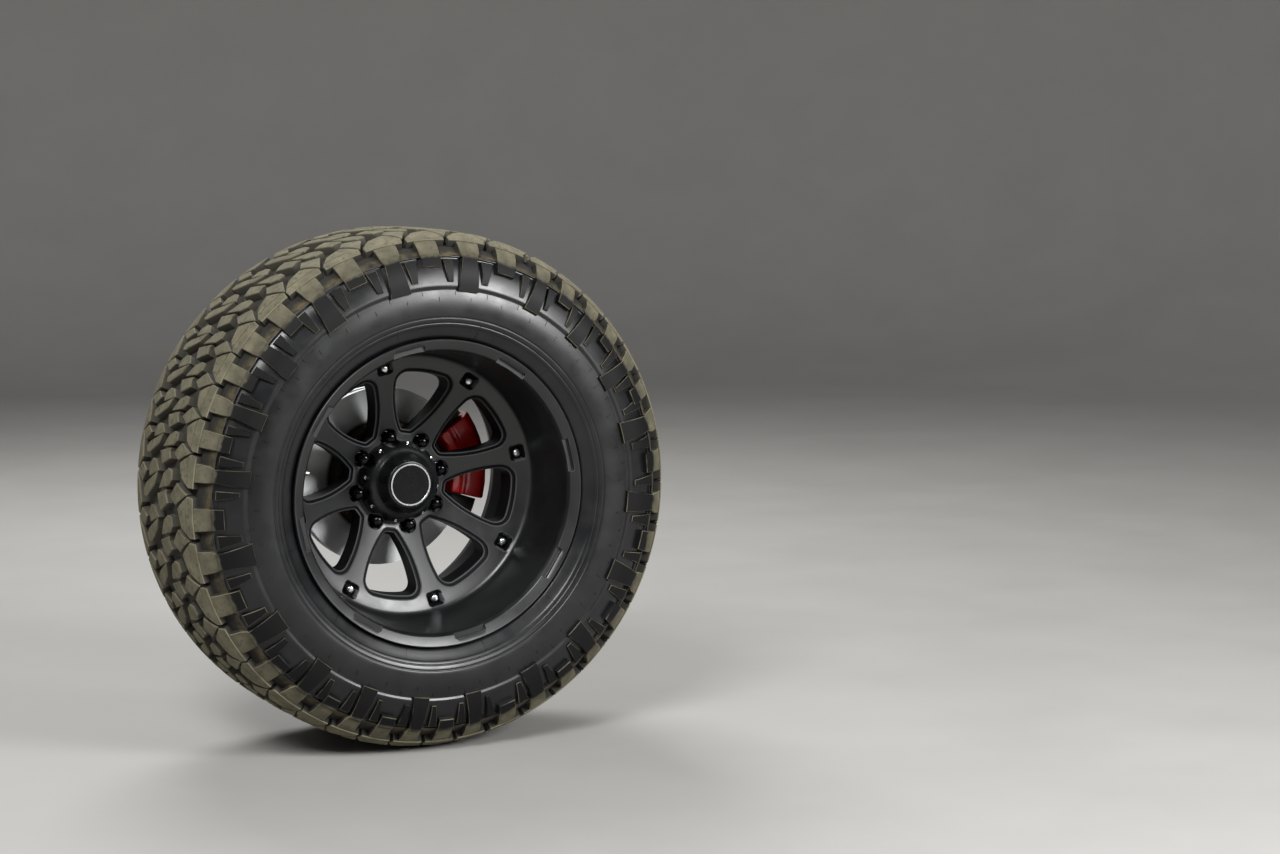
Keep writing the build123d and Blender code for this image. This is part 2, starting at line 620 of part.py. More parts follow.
def make_shield():
    """Pressed dust shield behind the disc, open where the caliper sits."""
    shield = rod(SHIELD_R, PLATE_Y - SHIELD_THICK, PLATE_Y)
    shield -= rod(BEARING_SPIGOT_R + 0.5, -FAR, FAR)
    hole = rod(BEARING_BOLT_R + 0.5, -FAR, FAR, BEARING_BOLT_CIRCLE_R)
    shield -= round_wheel(hole, BEARING_BOLTS, 45)
    return shield - sector(BEARING_FLANGE_R + 4, FAR, PLATE_Y - 50, PLATE_Y + 50,
                           BRACKET_HALF_SPAN + 3, CALIPER_ANGLE)


def on_steering_axis(shape, along):
    """Put an upright shape on the leaning steering axis, this far up it from the axle line."""
    return Pos(0, STEER_Y, 0) * Rot(-STEER_LEAN, 0, 0) * Pos(0, 0, along) * shape


def ball_boss(sign):
    """Boss for a ball joint."""
    return on_steering_axis(Cylinder(BALL_BOSS_R, BALL_BOSS_LENGTH),
                            sign * BALL_Z / cos(radians(STEER_LEAN)))


def ball_bore(sign):
    """Bore of a ball-joint boss, with the room for its nut on the side of the axle line."""
    middle = BALL_Z / cos(radians(STEER_LEAN))
    bore = on_steering_axis(Cylinder(BALL_BORE_R, BALL_BOSS_LENGTH + 20), sign * middle)
    nut_middle = middle - BALL_BOSS_LENGTH / 2 - BALL_NUT_LENGTH / 2
    return bore + on_steering_axis(Cylinder(BALL_NUT_R, BALL_NUT_LENGTH), sign * nut_middle)


def ear_place(side):
    """X and Z of a caliper bracket bolt."""
    angle = radians(CALIPER_ANGLE + side * EAR_ANGLE)
    return EAR_CIRCLE_R * cos(angle), EAR_CIRCLE_R * sin(angle)


def make_knuckle():
    """Forged knuckle: ring for the bearing, arms to the ball joints, steering arm, ears."""
    back = PLATE_Y + PLATE_THICK
    ring = rod(PLATE_R, PLATE_Y, back)
    half = BALL_BOSS_LENGTH / 2
    top = BALL_Z + half
    upper_y = STEER_Y + BALL_REACH
    lower_y = STEER_Y - BALL_REACH
    # side view of the arms, round the room for the ball joints' nuts: y, z
    side_view = [
        (PLATE_Y, 0), (PLATE_Y, PLATE_R), (upper_y - 42, BALL_Z - half),
        (upper_y - 36, top - 8), (upper_y, top - 8), (upper_y, BALL_Z - half + 6),
        (upper_y - BALL_NUT_R - 3, BALL_Z - half), (back, 75), (back, -75),
        (lower_y - BALL_NUT_R - 3, -BALL_Z + half + BALL_NUT_LENGTH),
        (lower_y - BALL_NUT_R - 3, -BALL_Z + half), (lower_y, -BALL_Z + half - 6),
        (lower_y, -top + 8), (PLATE_Y + 6, -top + 8), (PLATE_Y, -BALL_Z + half)]
    # front view of the arms: x, z
    front_view = [
        (ARM_WIDTH / 2 + 20, 0), (ARM_WIDTH / 2, PLATE_R + 20), (BALL_BOSS_R - 3, top),
        (3 - BALL_BOSS_R, top), (-ARM_WIDTH / 2, PLATE_R + 20), (-ARM_WIDTH / 2 - 20, 0),
        (-ARM_WIDTH / 2, -PLATE_R - 20), (3 - BALL_BOSS_R, -top), (BALL_BOSS_R - 3, -top),
        (ARM_WIDTH / 2, -PLATE_R - 20)]
    side_face = make_face(Polyline(*side_view, close=True))
    arms = extrude(Plane.YZ.offset(-FAR) * side_face, amount=2 * FAR)
    arms &= prism(make_face(Polyline(*front_view, close=True)), -FAR, FAR)
    knuckle = ring + arms + ball_boss(1) + ball_boss(-1)
    knuckle += steering_arm()
    for side in (-1, 1):
        x, z = ear_place(side)
        ear_front = BRACKET_FRONT_Y + BRACKET_THICK
        knuckle += rod(EAR_R, ear_front, back, x, z)
        web = prism(wrapped(Pos(x, z) * Circle(EAR_R - 2), Circle(PLATE_R - 40)), ear_front, back)
        knuckle += web
    knuckle -= rod(BEARING_SPIGOT_R + 0.3, -FAR, FAR)
    hole = rod(BEARING_BOLT_R + 0.4, -FAR, FAR, BEARING_BOLT_CIRCLE_R)
    knuckle -= round_wheel(hole, BEARING_BOLTS, 45)
    knuckle -= [rod(EAR_BOLT_R + PIN_PLAY, -FAR, FAR, *ear_place(side)) for side in (-1, 1)]
    knuckle -= [ball_bore(sign) for sign in (-1, 1)]
    knuckle -= Pos(TIE_ROD_X, TIE_ROD_Y, TIE_ROD_Z) * Cylinder(TIE_ROD_BORE_R, FAR)
    return knuckle


def wrapped(*faces):
    """Face wrapped tightly round other faces."""
    edges = []
    for face in faces:
        edges += face.edges()
    return make_face(Wire.make_convex_hull(edges).edges())


def steering_arm():
    """Arm forward and down to the tie-rod end."""
    z_low = TIE_ROD_Z - TIE_ROD_BOSS_LENGTH / 2
    boss = Pos(TIE_ROD_X, TIE_ROD_Y, z_low) * Cylinder(
        TIE_ROD_BOSS_R, TIE_ROD_BOSS_LENGTH, align=(Align.CENTER, Align.CENTER, Align.MIN))
    root = Pos(-PLATE_R + 30, PLATE_Y + PLATE_THICK / 2) * Circle(PLATE_THICK / 2 - 2)
    tip = Pos(TIE_ROD_X, TIE_ROD_Y) * Circle(TIE_ROD_BOSS_R - 3)
    arm_face = wrapped(root, tip)
    arm = extrude(Plane.XY.offset(TIE_ROD_Z - 13) * arm_face, amount=26)
    return boss + arm


def make_bracket():
    """Caliper bracket: beam behind the disc and two legs over its edge."""
    front = BRACKET_FRONT_Y
    back = front + BRACKET_THICK
    leg_half = (BRACKET_HALF_SPAN - BRACKET_LEG_IN_SPAN) / 2
    leg_middle = BRACKET_LEG_IN_SPAN + leg_half
    outer_y = DISC_FACE_Y - PAD_GAP - PAD_THICK
    bracket = sector(BRACKET_IN_R, BRACKET_BEAM_R, front, back, BRACKET_HALF_SPAN, CALIPER_ANGLE)
    for side in (-1, 1):
        middle = CALIPER_ANGLE + side * leg_middle
        bracket += sector(BRACKET_IN_R, BRACKET_OUT_R, front, back, leg_half, middle)
        bracket += sector(BRIDGE_IN_R, BRACKET_OUT_R, outer_y, back, leg_half, middle)
        bracket += sector(PAD_IN_R + 10, BRACKET_OUT_R, outer_y, outer_y + PAD_THICK - 5,
                          leg_half, middle)
    for side in (-1, 1):
        bracket -= rod(EAR_BOLT_R + PIN_PLAY, -FAR, FAR, *ear_place(side))
        pin_hole = rod(SLIDE_PIN_R + PIN_PLAY, front - PIN_REACH, FAR, SLIDE_PIN_CIRCLE_R)
        bracket -= at_angle(pin_hole, CALIPER_ANGLE + side * SLIDE_PIN_ANGLE)
    return bracket


def make_bracket_bolts():
    """Bolts from behind the knuckle's ears into the bracket."""
    back = PLATE_Y + PLATE_THICK
    bolts = []
    for side in (-1, 1):
        x, z = ear_place(side)
        bolt = rod(EAR_BOLT_R, BRACKET_FRONT_Y, back, x, z)
        bolt += prism(Pos(x, z) * RegularPolygon(BOLT_HEAD_R, 6), back, back + BOLT_HEAD_THICK)
        bolts.append(bolt)
    return Compound(bolts)


def pad_y(inner):
    """Y range of a brake pad, inboard or outboard of the disc."""
    if inner:
        low = DISC_FACE_Y + DISC_THICK + PAD_GAP
        return low, low + PAD_THICK
    high = DISC_FACE_Y - PAD_GAP
    return high - PAD_THICK, high


def make_pad(inner):
    """Brake pad with its backing plate."""
    low, high = pad_y(inner)
    return sector(PAD_IN_R, PAD_OUT_R, low, high, PAD_HALF_SPAN, CALIPER_ANGLE)


def make_caliper():
    """Two-piston floating caliper that reaches over the disc to the outer pad."""
    finger_back = pad_y(False)[0]
    finger_front = finger_back - FINGER_THICK
    body_front = pad_y(True)[1] + PISTON_SHOW
    body_back = body_front + CYLINDER_LENGTH
    # outline of a slice through the caliper: radius, y
    section = [
        (FINGER_IN_R, finger_back), (FINGER_IN_R + 8, finger_front),
        (CALIPER_OUT_R - 14, finger_front), (CALIPER_OUT_R, finger_front + 14),
        (CALIPER_OUT_R, body_front + 10), (CALIPER_OUT_R - 16, body_back - 6),
        (BRACKET_BEAM_R + 8, body_back - 6), (BRACKET_BEAM_R + 8, body_front),
        (BRIDGE_IN_R, body_front), (BRIDGE_IN_R, finger_back)]
    caliper = at_angle(turned(section, 2 * CALIPER_HALF_SPAN), CALIPER_HALF_SPAN)
    for side in (-1, 1):
        z = side * PISTON_SPREAD
        caliper += rod(PISTON_R + CYLINDER_WALL, body_front, body_back, PISTON_CIRCLE_R, z)
        caliper += pin_ear(side, body_front)
    caliper += rod(PORT_BOSS_R, body_front, body_back, PISTON_CIRCLE_R, 0)
    for side in (-1, 1):
        z = side * PISTON_SPREAD
        caliper -= rod(PISTON_R + 0.2, body_front, body_back - CYLINDER_WALL, PISTON_CIRCLE_R, z)
        caliper -= at_angle(rod(SLIDE_PIN_R + PIN_PLAY, -FAR, FAR, SLIDE_PIN_CIRCLE_R),
                            side * SLIDE_PIN_ANGLE)
    caliper -= rod(PORT_R, body_back - PORT_DEPTH, FAR, PISTON_CIRCLE_R, 0)
    return at_angle(caliper, CALIPER_ANGLE)


def pin_ear(side, body_front):
    """Ear of the caliper that its slide pin holds."""
    back = body_front + PIN_EAR_BACK
    front = back - PIN_EAR_THICK
    ear = at_angle(rod(PIN_EAR_R, front, back, SLIDE_PIN_CIRCLE_R), side * SLIDE_PIN_ANGLE)
    span = (SLIDE_PIN_ANGLE - CALIPER_HALF_SPAN) / 2 + 1
    web = sector(SLIDE_PIN_CIRCLE_R - PIN_EAR_R + 3, SLIDE_PIN_CIRCLE_R + PIN_EAR_R - 3,
                 front, back, span, side * (SLIDE_PIN_ANGLE - span))
    return ear + web


def make_pistons():
    """Caliper pistons, bearing on the inner pad."""
    pistons = []
    front = pad_y(True)[1]
    back = front + PISTON_SHOW + CYLINDER_LENGTH - CYLINDER_WALL - 4
    for side in (-1, 1):
        z = side * PISTON_SPREAD
        pistons.append(at_angle(rod(PISTON_R, front, back, PISTON_CIRCLE_R, z), CALIPER_ANGLE))
    return Compound(pistons)


def make_slide_pins():
    """Pins that guide the caliper on its bracket."""
    front = BRACKET_FRONT_Y - PIN_REACH
    back = pad_y(True)[1] + PISTON_SHOW + PIN_EAR_BACK
    pins = []
    for side in (-1, 1):
        pin = rod(SLIDE_PIN_R, front, back, SLIDE_PIN_CIRCLE_R)
        pin += prism(Pos(SLIDE_PIN_CIRCLE_R, 0) * RegularPolygon(PIN_HEAD_R, 6),
                     back, back + PIN_HEAD_THICK)
        pins.append(at_angle(pin, CALIPER_ANGLE + side * SLIDE_PIN_ANGLE))
    return Compound(pins)


NODES = {
    "tyre": make_tyre,
    "rim": make_rim,
    "barrel": make_barrel,
    "wheel_centre": make_centre,
    "spoke_bolts": make_spoke_bolts,
    "valve": make_valve,
    "centre_cap": make_cap,
    "cap_emblem": make_emblem,
    "cap_screws": make_cap_screws,
    "wheel_studs": make_studs,
    "wheel_nuts": make_nuts,
    "hub": make_hub,
    "brake_disc": make_disc,
    "bearing_housing": make_bearing,
    "bearing_bolts": make_bearing_bolts,
    "dust_shield": make_shield,
    "knuckle": make_knuckle,
    "caliper_bracket": make_bracket,
    "bracket_bolts": make_bracket_bolts,
    "pad_inner": lambda: make_pad(True),
    "pad_outer": lambda: make_pad(False),
    "caliper": make_caliper,
    "caliper_pistons": make_pistons,
    "slide_pins": make_slide_pins,
}

os.makedirs("parts", exist_ok=True)
place = Pos(0, BALL_REACH - STEER_Y, BALL_Z)
for name, make in NODES.items():
    export_step(place * make(), f"parts/{name}.step")
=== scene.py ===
import json
import math

import bmesh
import bpy
import numpy as np
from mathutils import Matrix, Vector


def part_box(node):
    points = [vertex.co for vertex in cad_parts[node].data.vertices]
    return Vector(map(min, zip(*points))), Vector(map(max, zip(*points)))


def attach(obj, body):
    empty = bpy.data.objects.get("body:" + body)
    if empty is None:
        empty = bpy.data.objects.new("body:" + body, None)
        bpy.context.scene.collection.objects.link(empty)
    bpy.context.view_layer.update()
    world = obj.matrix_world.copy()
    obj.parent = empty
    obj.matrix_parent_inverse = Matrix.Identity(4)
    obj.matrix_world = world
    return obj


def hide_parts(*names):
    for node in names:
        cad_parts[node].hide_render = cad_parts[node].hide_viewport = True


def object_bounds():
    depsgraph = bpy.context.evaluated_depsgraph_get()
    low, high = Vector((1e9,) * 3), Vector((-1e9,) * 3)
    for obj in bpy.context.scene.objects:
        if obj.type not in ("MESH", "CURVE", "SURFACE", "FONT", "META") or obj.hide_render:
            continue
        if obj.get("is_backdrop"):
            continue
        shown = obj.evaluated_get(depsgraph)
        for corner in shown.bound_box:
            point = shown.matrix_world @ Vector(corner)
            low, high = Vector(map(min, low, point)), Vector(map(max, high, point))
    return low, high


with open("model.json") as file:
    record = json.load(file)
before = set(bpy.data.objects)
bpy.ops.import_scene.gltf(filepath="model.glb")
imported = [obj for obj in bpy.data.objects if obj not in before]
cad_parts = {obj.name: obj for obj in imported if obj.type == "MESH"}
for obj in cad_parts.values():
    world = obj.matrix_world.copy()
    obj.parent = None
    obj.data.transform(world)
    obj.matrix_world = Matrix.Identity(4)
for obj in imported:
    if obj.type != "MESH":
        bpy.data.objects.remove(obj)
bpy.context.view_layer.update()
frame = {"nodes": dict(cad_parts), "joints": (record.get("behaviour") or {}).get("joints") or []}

# Steering knuckle and its bearing bolts
# The knuckle is a rough iron casting, machined only where something seats on it. It stays
# as the CAD has it. Everything else is built onto it, from the knuckle outwards.


def linear(hex_colour):
    """Linear colour with alpha, as sockets take it, from an sRGB hex string."""
    shares = [int(hex_colour[i:i + 2], 16) / 255 for i in (0, 2, 4)]
    return [s / 12.92 if s <= 0.04045 else ((s + 0.055) / 1.055) ** 2.4 for s in shares] + [1.0]


def per_metre(size_mm):
    """Scale for a texture on metre coordinates whose detail is this many millimetres wide."""
    return 1000 / size_mm


def add_node(material, kind, inputs, output=None, **settings):
    """Output of a new node. An input given as a socket is linked, any other value is set."""
    node = material.node_tree.nodes.new(kind)
    for name, value in settings.items():
        setattr(node, name, value)
    for key, value in inputs.items():
        if isinstance(value, bpy.types.NodeSocket):
            material.node_tree.links.new(value, node.inputs[key])
        else:
            node.inputs[key].default_value = value
    return node.outputs[output] if output else next(o for o in node.outputs if o.enabled)


def clouds(material, size_mm, low, high):
    """Share from 0 to 1 in soft clouds of this size, fixed to the piece. It rises while the
    noise goes from low to high, so a narrow band gives hard edges."""
    place = add_node(material, "ShaderNodeTexCoord", {}, "Object")
    noise = add_node(material, "ShaderNodeTexNoise", {
        "Vector": place, "Scale": per_metre(size_mm), "Detail": 5.0, "Roughness": 0.6})
    return add_node(material, "ShaderNodeMapRange", {
        "Value": noise, "From Min": low, "From Max": high})


def finish(name, colours, cloud_mm, roughness, grain_mm, depth_mm, **sockets):
    """Material that drifts in clouds between two colours and two values of roughness, over a
    grain of this size and depth."""
    material = bpy.data.materials.new(name)
    material.use_nodes = True
    shader = material.node_tree.nodes["Principled BSDF"].inputs
    for socket, value in sockets.items():
        shader[socket.replace("_", " ")].default_value = value
    share = clouds(material, cloud_mm, 0.35, 0.65)
    colour = add_node(material, "ShaderNodeMix", {
        "Factor": share, "A": linear(colours[0]), "B": linear(colours[1])}, data_type="RGBA")
    rough = add_node(material, "ShaderNodeMapRange", {
        "Value": share, "To Min": roughness[0], "To Max": roughness[1]})
    # real grain is mostly too fine to show in the render, so it is drawn from 0.7 mm up
    raised = add_node(material, "ShaderNodeBump", {
        "Height": clouds(material, grain_mm, 0.3, 0.7), "Distance": depth_mm / 1000})
    for socket, value in (("Base Color", colour), ("Roughness", rough), ("Normal", raised)):
        material.node_tree.links.new(value, shader[socket])
    return material


def dress(material, *nodes):
    """Give CAD nodes that stay as they are this material."""
    for name in nodes:
        for material_slot in frame["nodes"][name].material_slots:
            material_slot.material = material


# Cast iron: dark brown grey, rough and lightly mottled, so it stays in the background.
cast_iron = finish("cast_iron", ("262422", "3A3632"), 22, (0.55, 0.75), 2.2, 0.3)
dress(cast_iron, "knuckle")

# Zinc plate: pale, slightly warm metal with an even, soft shine.
zinc_plate = finish("zinc_plate", ("A3A19A", "B2B0A9"), 45, (0.3, 0.38), 1.2, 0.01, Metallic=1.0)
dress(zinc_plate, "bearing_bolts")

# Hub bearing, dust shield and hub
# The bearing housing is bolted to the knuckle with the pressed steel shield between them,
# and the driven hub turns in it. All three are mostly hidden behind the disc.
dress(cast_iron, "bearing_housing", "hub")
dress(zinc_plate, "dust_shield")

# Brake disc
# A vented iron disc held between hub and wheel. The pads keep its faces bright, and it
# shows through the windows as pale patches.
AXLE = np.array(frame["joints"][0]["pos_m"])


def radius_mm(material):
    """Distance from the axle line in millimetres."""
    place = add_node(material, "ShaderNodeTexCoord", {}, "Object")
    across = add_node(material, "ShaderNodeVectorMath", {
        0: place, 1: (1000, 0, 1000), 2: -1000 * AXLE * (1, 0, 1)}, operation="MULTIPLY_ADD")
    return add_node(material, "ShaderNodeVectorMath", {0: across}, operation="LENGTH")


def overlay(material, shares, colour, roughness):
    """Cover a material with another colour and roughness, by the product of some shares."""
    share = shares[0]
    for other in shares[1:]:
        share = add_node(material, "ShaderNodeMath", {0: share, 1: other}, operation="MULTIPLY")
    shader = material.node_tree.nodes["Principled BSDF"].inputs
    for socket, value, kind in (("Base Color", linear(colour), "RGBA"),
                                ("Roughness", roughness, "FLOAT")):
        mixed = add_node(material, "ShaderNodeMix", {
            "Factor": share, "A": shader[socket].links[0].from_socket, "B": value},
            data_type=kind)
        material.node_tree.links.new(mixed, shader[socket])


# Where the sweep of the pads starts and is full, in mm off the axle line
SWEEP_START = 113
SWEEP_FULL = 121
RINGS_PER_MM = 0.7

# Turned iron: bright grey where the pads sweep it, brown and dull inside. The real rings are
# too fine to show in the render, so they are drawn more than a millimetre wide.
turned_iron = finish("turned_iron", ("2E2824", "5A463A"), 9, (0.5, 0.7), 2.0, 0.05, Metallic=1.0)
rings = add_node(turned_iron, "ShaderNodeTexNoise", {
    "W": radius_mm(turned_iron), "Scale": RINGS_PER_MM, "Detail": 4.0}, noise_dimensions="1D")
pad_swept = add_node(turned_iron, "ShaderNodeMapRange", {
    "Value": radius_mm(turned_iron), "From Min": SWEEP_START, "From Max": SWEEP_FULL})
overlay(turned_iron, [pad_swept], "F0F1F2", 0.75)
fine_rings = add_node(turned_iron, "ShaderNodeMapRange", {
    "Value": rings, "From Min": 0.4, "From Max": 0.7, "To Max": 0.6})
overlay(turned_iron, [pad_swept, fine_rings], "D2D3D4", 0.65)
dress(turned_iron, "brake_disc")

# Caliper bracket and pads
# The iron bracket is bolted to the knuckle's ears and holds a pad on each side of the
# disc. A pad is a block of friction lining pressed onto a steel plate.
dress(cast_iron, "caliper_bracket")
dress(zinc_plate, "bracket_bolts")

# Friction lining: dark grey with fine bright specks of metal.
lining = finish("friction_lining", ("242322", "3A3836"), 12, (0.85, 0.95), 1.0, 0.2)
overlay(lining, [clouds(lining, 1.2, 0.62, 0.7)], "8A8378", 0.6)
dress(lining, "pad_inner", "pad_outer")

# Brake caliper
# A floating two-piston casting in gloss red paint. Its two ribbed fingers reach over the disc
# to the outer pad, and are seen through the windows on the right.
EDGE_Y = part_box("rim")[0].y
CALIPER_ANGLE = 10


def around_axle(radius, angle, depth):
    """Points in the frame, from mm off the axle line, degrees from +X towards +Z and mm inboard
    of the wheel's outboard edge."""
    radius, turn, depth = np.broadcast_arrays(radius, np.radians(angle), depth)
    return np.stack([AXLE[0] + radius * np.cos(turn) / 1000,
                     EDGE_Y + depth / 1000,
                     AXLE[2] + radius * np.sin(turn) / 1000], -1)


def from_flat(x, z, depth, turn):
    """Points drawn flat, in mm as seen from outboard, turned about the axle line by degrees."""
    return around_axle(np.hypot(x, z), np.degrees(np.arctan2(z, x)) + turn, depth)


def skin(rings, wrap=False):
    """Points and faces over rings of points: wrapped into a closed tube, or capped."""
    rings = np.asarray(rings)
    levels, count = rings.shape[:2]
    index = np.arange(levels * count).reshape(levels, count)
    low, high = (index, np.roll(index, -1, 0)) if wrap else (index[:-1], index[1:])
    quads = np.stack([low, np.roll(low, -1, 1), np.roll(high, -1, 1), high], -1)
    faces = quads.reshape(-1, 4).tolist()
    if not wrap:
        faces += [index[0].tolist(), index[-1].tolist()]
    return rings.reshape(-1, 3), faces


def joined(skins):
    """Several skins as one list of points and one of faces."""
    points, faces, first = [], [], 0
    for some_points, some_faces in skins:
        points.append(some_points)
        faces += [[first + i for i in face] for face in some_faces]
        first += len(some_points)
    return np.concatenate(points), faces


def mesh_object(name, skins, material):
    """Object made of closed skins, with its faces turned outwards."""
    mesh = bpy.data.meshes.new(name)
    points, faces = joined(skins)
    mesh.from_pydata(points.tolist(), [], faces)
    work = bmesh.new()
    work.from_mesh(mesh)
    bmesh.ops.recalc_face_normals(work, faces=work.faces)
    work.to_mesh(mesh)
    work.free()
    mesh.materials.append(material)
    made = bpy.data.objects.new(name, mesh)
    bpy.context.scene.collection.objects.link(made)
    return made


def seat(made, body, slot, *nodes, sharp=30):
    """Let a finished piece ride on a body in place of CAD nodes, its edges crisp above an angle."""
    made.data.shade_smooth()
    made.data.set_sharp_from_angle(angle=math.radians(sharp))
    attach(made, body)
    if nodes:
        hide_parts(*nodes)


def rounded(corners, steps=3):
    """Closed outline with its corners drawn as arcs, from (a, b, corner round) rows."""
    rows = np.array(corners, float)
    outline = []
    for before, (*corner, size), after in zip(np.roll(rows, 1, 0), rows, np.roll(rows, -1, 0)):
        corner = np.array(corner)
        if size == 0:
            outline.append(corner)
            continue
        back, ahead = before[:2] - corner, after[:2] - corner
        reach = [min(size, 0.45 * np.linalg.norm(side)) / np.linalg.norm(side)
                 for side in (back, ahead)]
        start, end = corner + back * reach[0], corner + ahead * reach[1]
        for share in np.linspace(0, 1, steps + 1):
            outline.append(start * (1 - share) ** 2 + 2 * corner * share * (1 - share)
                           + end * share ** 2)
    return np.array(outline)


def post(radius, outline, turn, steps=32, flats=None):
    """Closed skin turned about its own line along Y: outline of (own radius, depth). Where flats
    is given, six sides this far from the line cut it."""
    circle = np.arange(steps) * math.tau / steps
    limit = np.inf if flats is None else flats / np.cos(circle % (math.pi / 3) - math.pi / 6)
    return skin([from_flat(radius + np.minimum(own, limit) * np.cos(circle),
                           np.minimum(own, limit) * np.sin(circle), depth, turn)
                 for own, depth in outline])


def swept(sections, turns):
    """Closed skin through sections of (radius, depth), each at its own angle."""
    return skin([around_axle(flat[:, 0], turn, flat[:, 1]) for flat, turn in zip(sections, turns)])


def outward(flat):
    """Direction out of a closed anticlockwise outline, at each of its points."""
    ahead = np.roll(flat, -1, 0) - np.roll(flat, 1, 0)
    away = np.stack([ahead[:, 1], -ahead[:, 0]], -1)
    return away / np.linalg.norm(away, axis=1)[:, None]


def inset(flat, size):
    """A closed outline, running either way, drawn in by this much."""
    area = np.sum(flat[:, 0] * np.roll(flat[:, 1], -1) - np.roll(flat[:, 0], -1) * flat[:, 1])
    return flat - outward(flat) * size * np.sign(area)


# Slice through the caliper, from the fingers over the disc to the cylinders: radius, depth, round
CALIPER_SLICE = rounded([
    (132.5, 294.5, 1), (140, 271.8, 5), (157, 271.5, 2), (161, 275.5, 2), (167, 275.5, 2),
    (171, 271.5, 2), (203, 271.5, 5), (218, 285.5, 5), (218, 385.5, 6), (202, 415.5, 6),
    (130, 415.5, 3), (130, 375.5, 2), (187, 375.5, 3), (187, 294.5, 2)], 4)
# The fingers lie between these depths
FINGER_FRONT = 271.5
FINGER_BACK = 285
# degrees from the caliper's middle, how far the slice is drawn in, how far the groove between
# the fingers goes back
CALIPER_TURNS = [(-25, 3, 0), (-24.6, 1, 0), (-23.8, 0, 0), (-16, 0, 0), (-9, 0, 0), (-3.2, 0, 0),
                 (-2.4, 0, 5), (2.4, 0, 5), (3.2, 0, 0), (9, 0, 0), (16, 0, 0), (23.8, 0, 0),
                 (24.6, 1, 0), (25, 3, 0)]
caliper_slices = []
for turn, drawn_in, groove in CALIPER_TURNS:
    flat = inset(CALIPER_SLICE, drawn_in)
    front = flat[:, 1] < FINGER_BACK
    share = (FINGER_BACK - flat[front, 1]) / (FINGER_BACK - FINGER_FRONT)
    flat[front, 1] += groove * share
    caliper_slices.append(flat)
caliper_skins = [swept(caliper_slices, [CALIPER_ANGLE + row[0] for row in CALIPER_TURNS])]
# own radius, depth
CYLINDER = [(30, 376), (34, 378), (34, 413), (32.8, 418), (29, 421), (24, 421.5), (23, 420.5),
            (19, 420.5), (18, 421.5), (2, 421.5)]
PIN_EAR = [(9.5, 377.5), (11, 379), (11, 390), (9.5, 391.5)]
HOSE_BOSS = [(10, 380), (10, 418), (8.5, 419.5), (5.4, 419.5), (5, 419), (5, 408)]
# Arm that carries an ear: radius, depth, round of its slice, and where its slices stand in
# degrees from the caliper's middle
ARM_SLICE = rounded([(188, 377.8, 2), (204, 377.8, 2), (204, 391.2, 2), (188, 391.2, 2)])
ARM_TURNS = (23.5, 26, 28.5, 30.5)
# mm from the axle line to the cylinders' line, and from its middle to each cylinder
CYLINDER_RADIUS = 151.5
CYLINDER_ASIDE = 36
# mm from the axle line to each pin's ear, and its degrees from the caliper's middle
PIN_RADIUS = 196
PIN_TURN = 31
cylinder_turn = math.degrees(math.atan2(CYLINDER_ASIDE, CYLINDER_RADIUS))
for side in (-1, 1):
    caliper_skins += [
        post(math.hypot(CYLINDER_RADIUS, CYLINDER_ASIDE), CYLINDER,
             CALIPER_ANGLE + cylinder_turn * side, 48),
        post(PIN_RADIUS, PIN_EAR, CALIPER_ANGLE + PIN_TURN * side),
        swept([ARM_SLICE] * len(ARM_TURNS), [CALIPER_ANGLE + side * turn for turn in ARM_TURNS]),
    ]
caliper_skins.append(post(CYLINDER_RADIUS, HOSE_BOSS, CALIPER_ANGLE))

# Gloss red paint: deep red under a clear coat, softly uneven from the casting below it.
red_paint = finish("gloss_red_paint", ("B80D10", "D21618"), 30, (0.3, 0.4), 5, 0.1,
                   Coat_Weight=1.0, Coat_Roughness=0.07)
caliper = mesh_object("caliper_casting", caliper_skins, red_paint)
seat(caliper, "knuckle", "red_paint", "caliper")
dress(turned_iron, "caliper_pistons")
dress(zinc_plate, "slide_pins")

# Wheel
# One aluminium casting: a barrel with a deep dish, and eight spokes that fall back to the
# hub. Each window has a stepped edge, each spoke end a pocket, and the lip has slots.
SPOKES = 8
SPOKE_PITCH = 360 / SPOKES
FIRST_SPOKE = 12.4
SPOKE_ANGLES = [FIRST_SPOKE + SPOKE_PITCH * k for k in range(SPOKES)]
STUD_CIRCLE = 90


def lathe(outline, steps):
    """Closed skin of an outline of (radius, depth) turned about the axle line."""
    angles = np.arange(steps) * 360 / steps
    return skin([around_axle(radius, angles, depth) for radius, depth in outline], wrap=True)


def cut(made, cutters, material):
    """Take closed skins out of an object."""
    tool = mesh_object("cutter", cutters, material)
    take_out = made.modifiers.new("cut", "BOOLEAN")
    take_out.object = tool
    take_out.solver = "EXACT"
    depsgraph = bpy.context.evaluated_depsgraph_get()
    result = bpy.data.meshes.new_from_object(made.evaluated_get(depsgraph))
    made.modifiers.clear()
    made.data = result
    bpy.data.objects.remove(tool)


# radius, depth, round
WHEEL_OUTLINE = [
    (295.5, 0, 2), (297, 1.5, 1), (297, 10, 3), (291, 14.2, 3), (279.4, 14.2, 3),
    (277.6, 38, 4), (271, 56, 8), (270, 252, 10), (258, 266, 6), (258, 318, 6),
    (277.6, 342, 6), (279.4, 369.8, 3), (291, 369.8, 3), (297, 374, 3), (297, 382, 2),
    (295, 384, 1), (271.4, 384, 3), (267.4, 350, 10), (250, 324, 8), (250, 262, 8),
    (240, 232, 8), (232, 214, 6), (112, 268, 4), (62.05, 268, 1), (62.05, 225, 1),
    (92, 225, 12), (228, 161, 10), (246, 155, 6), (257, 150, 8), (261.3, 138, 10),
    (272.5, 18, 3), (277.5, 9, 1.2),
]
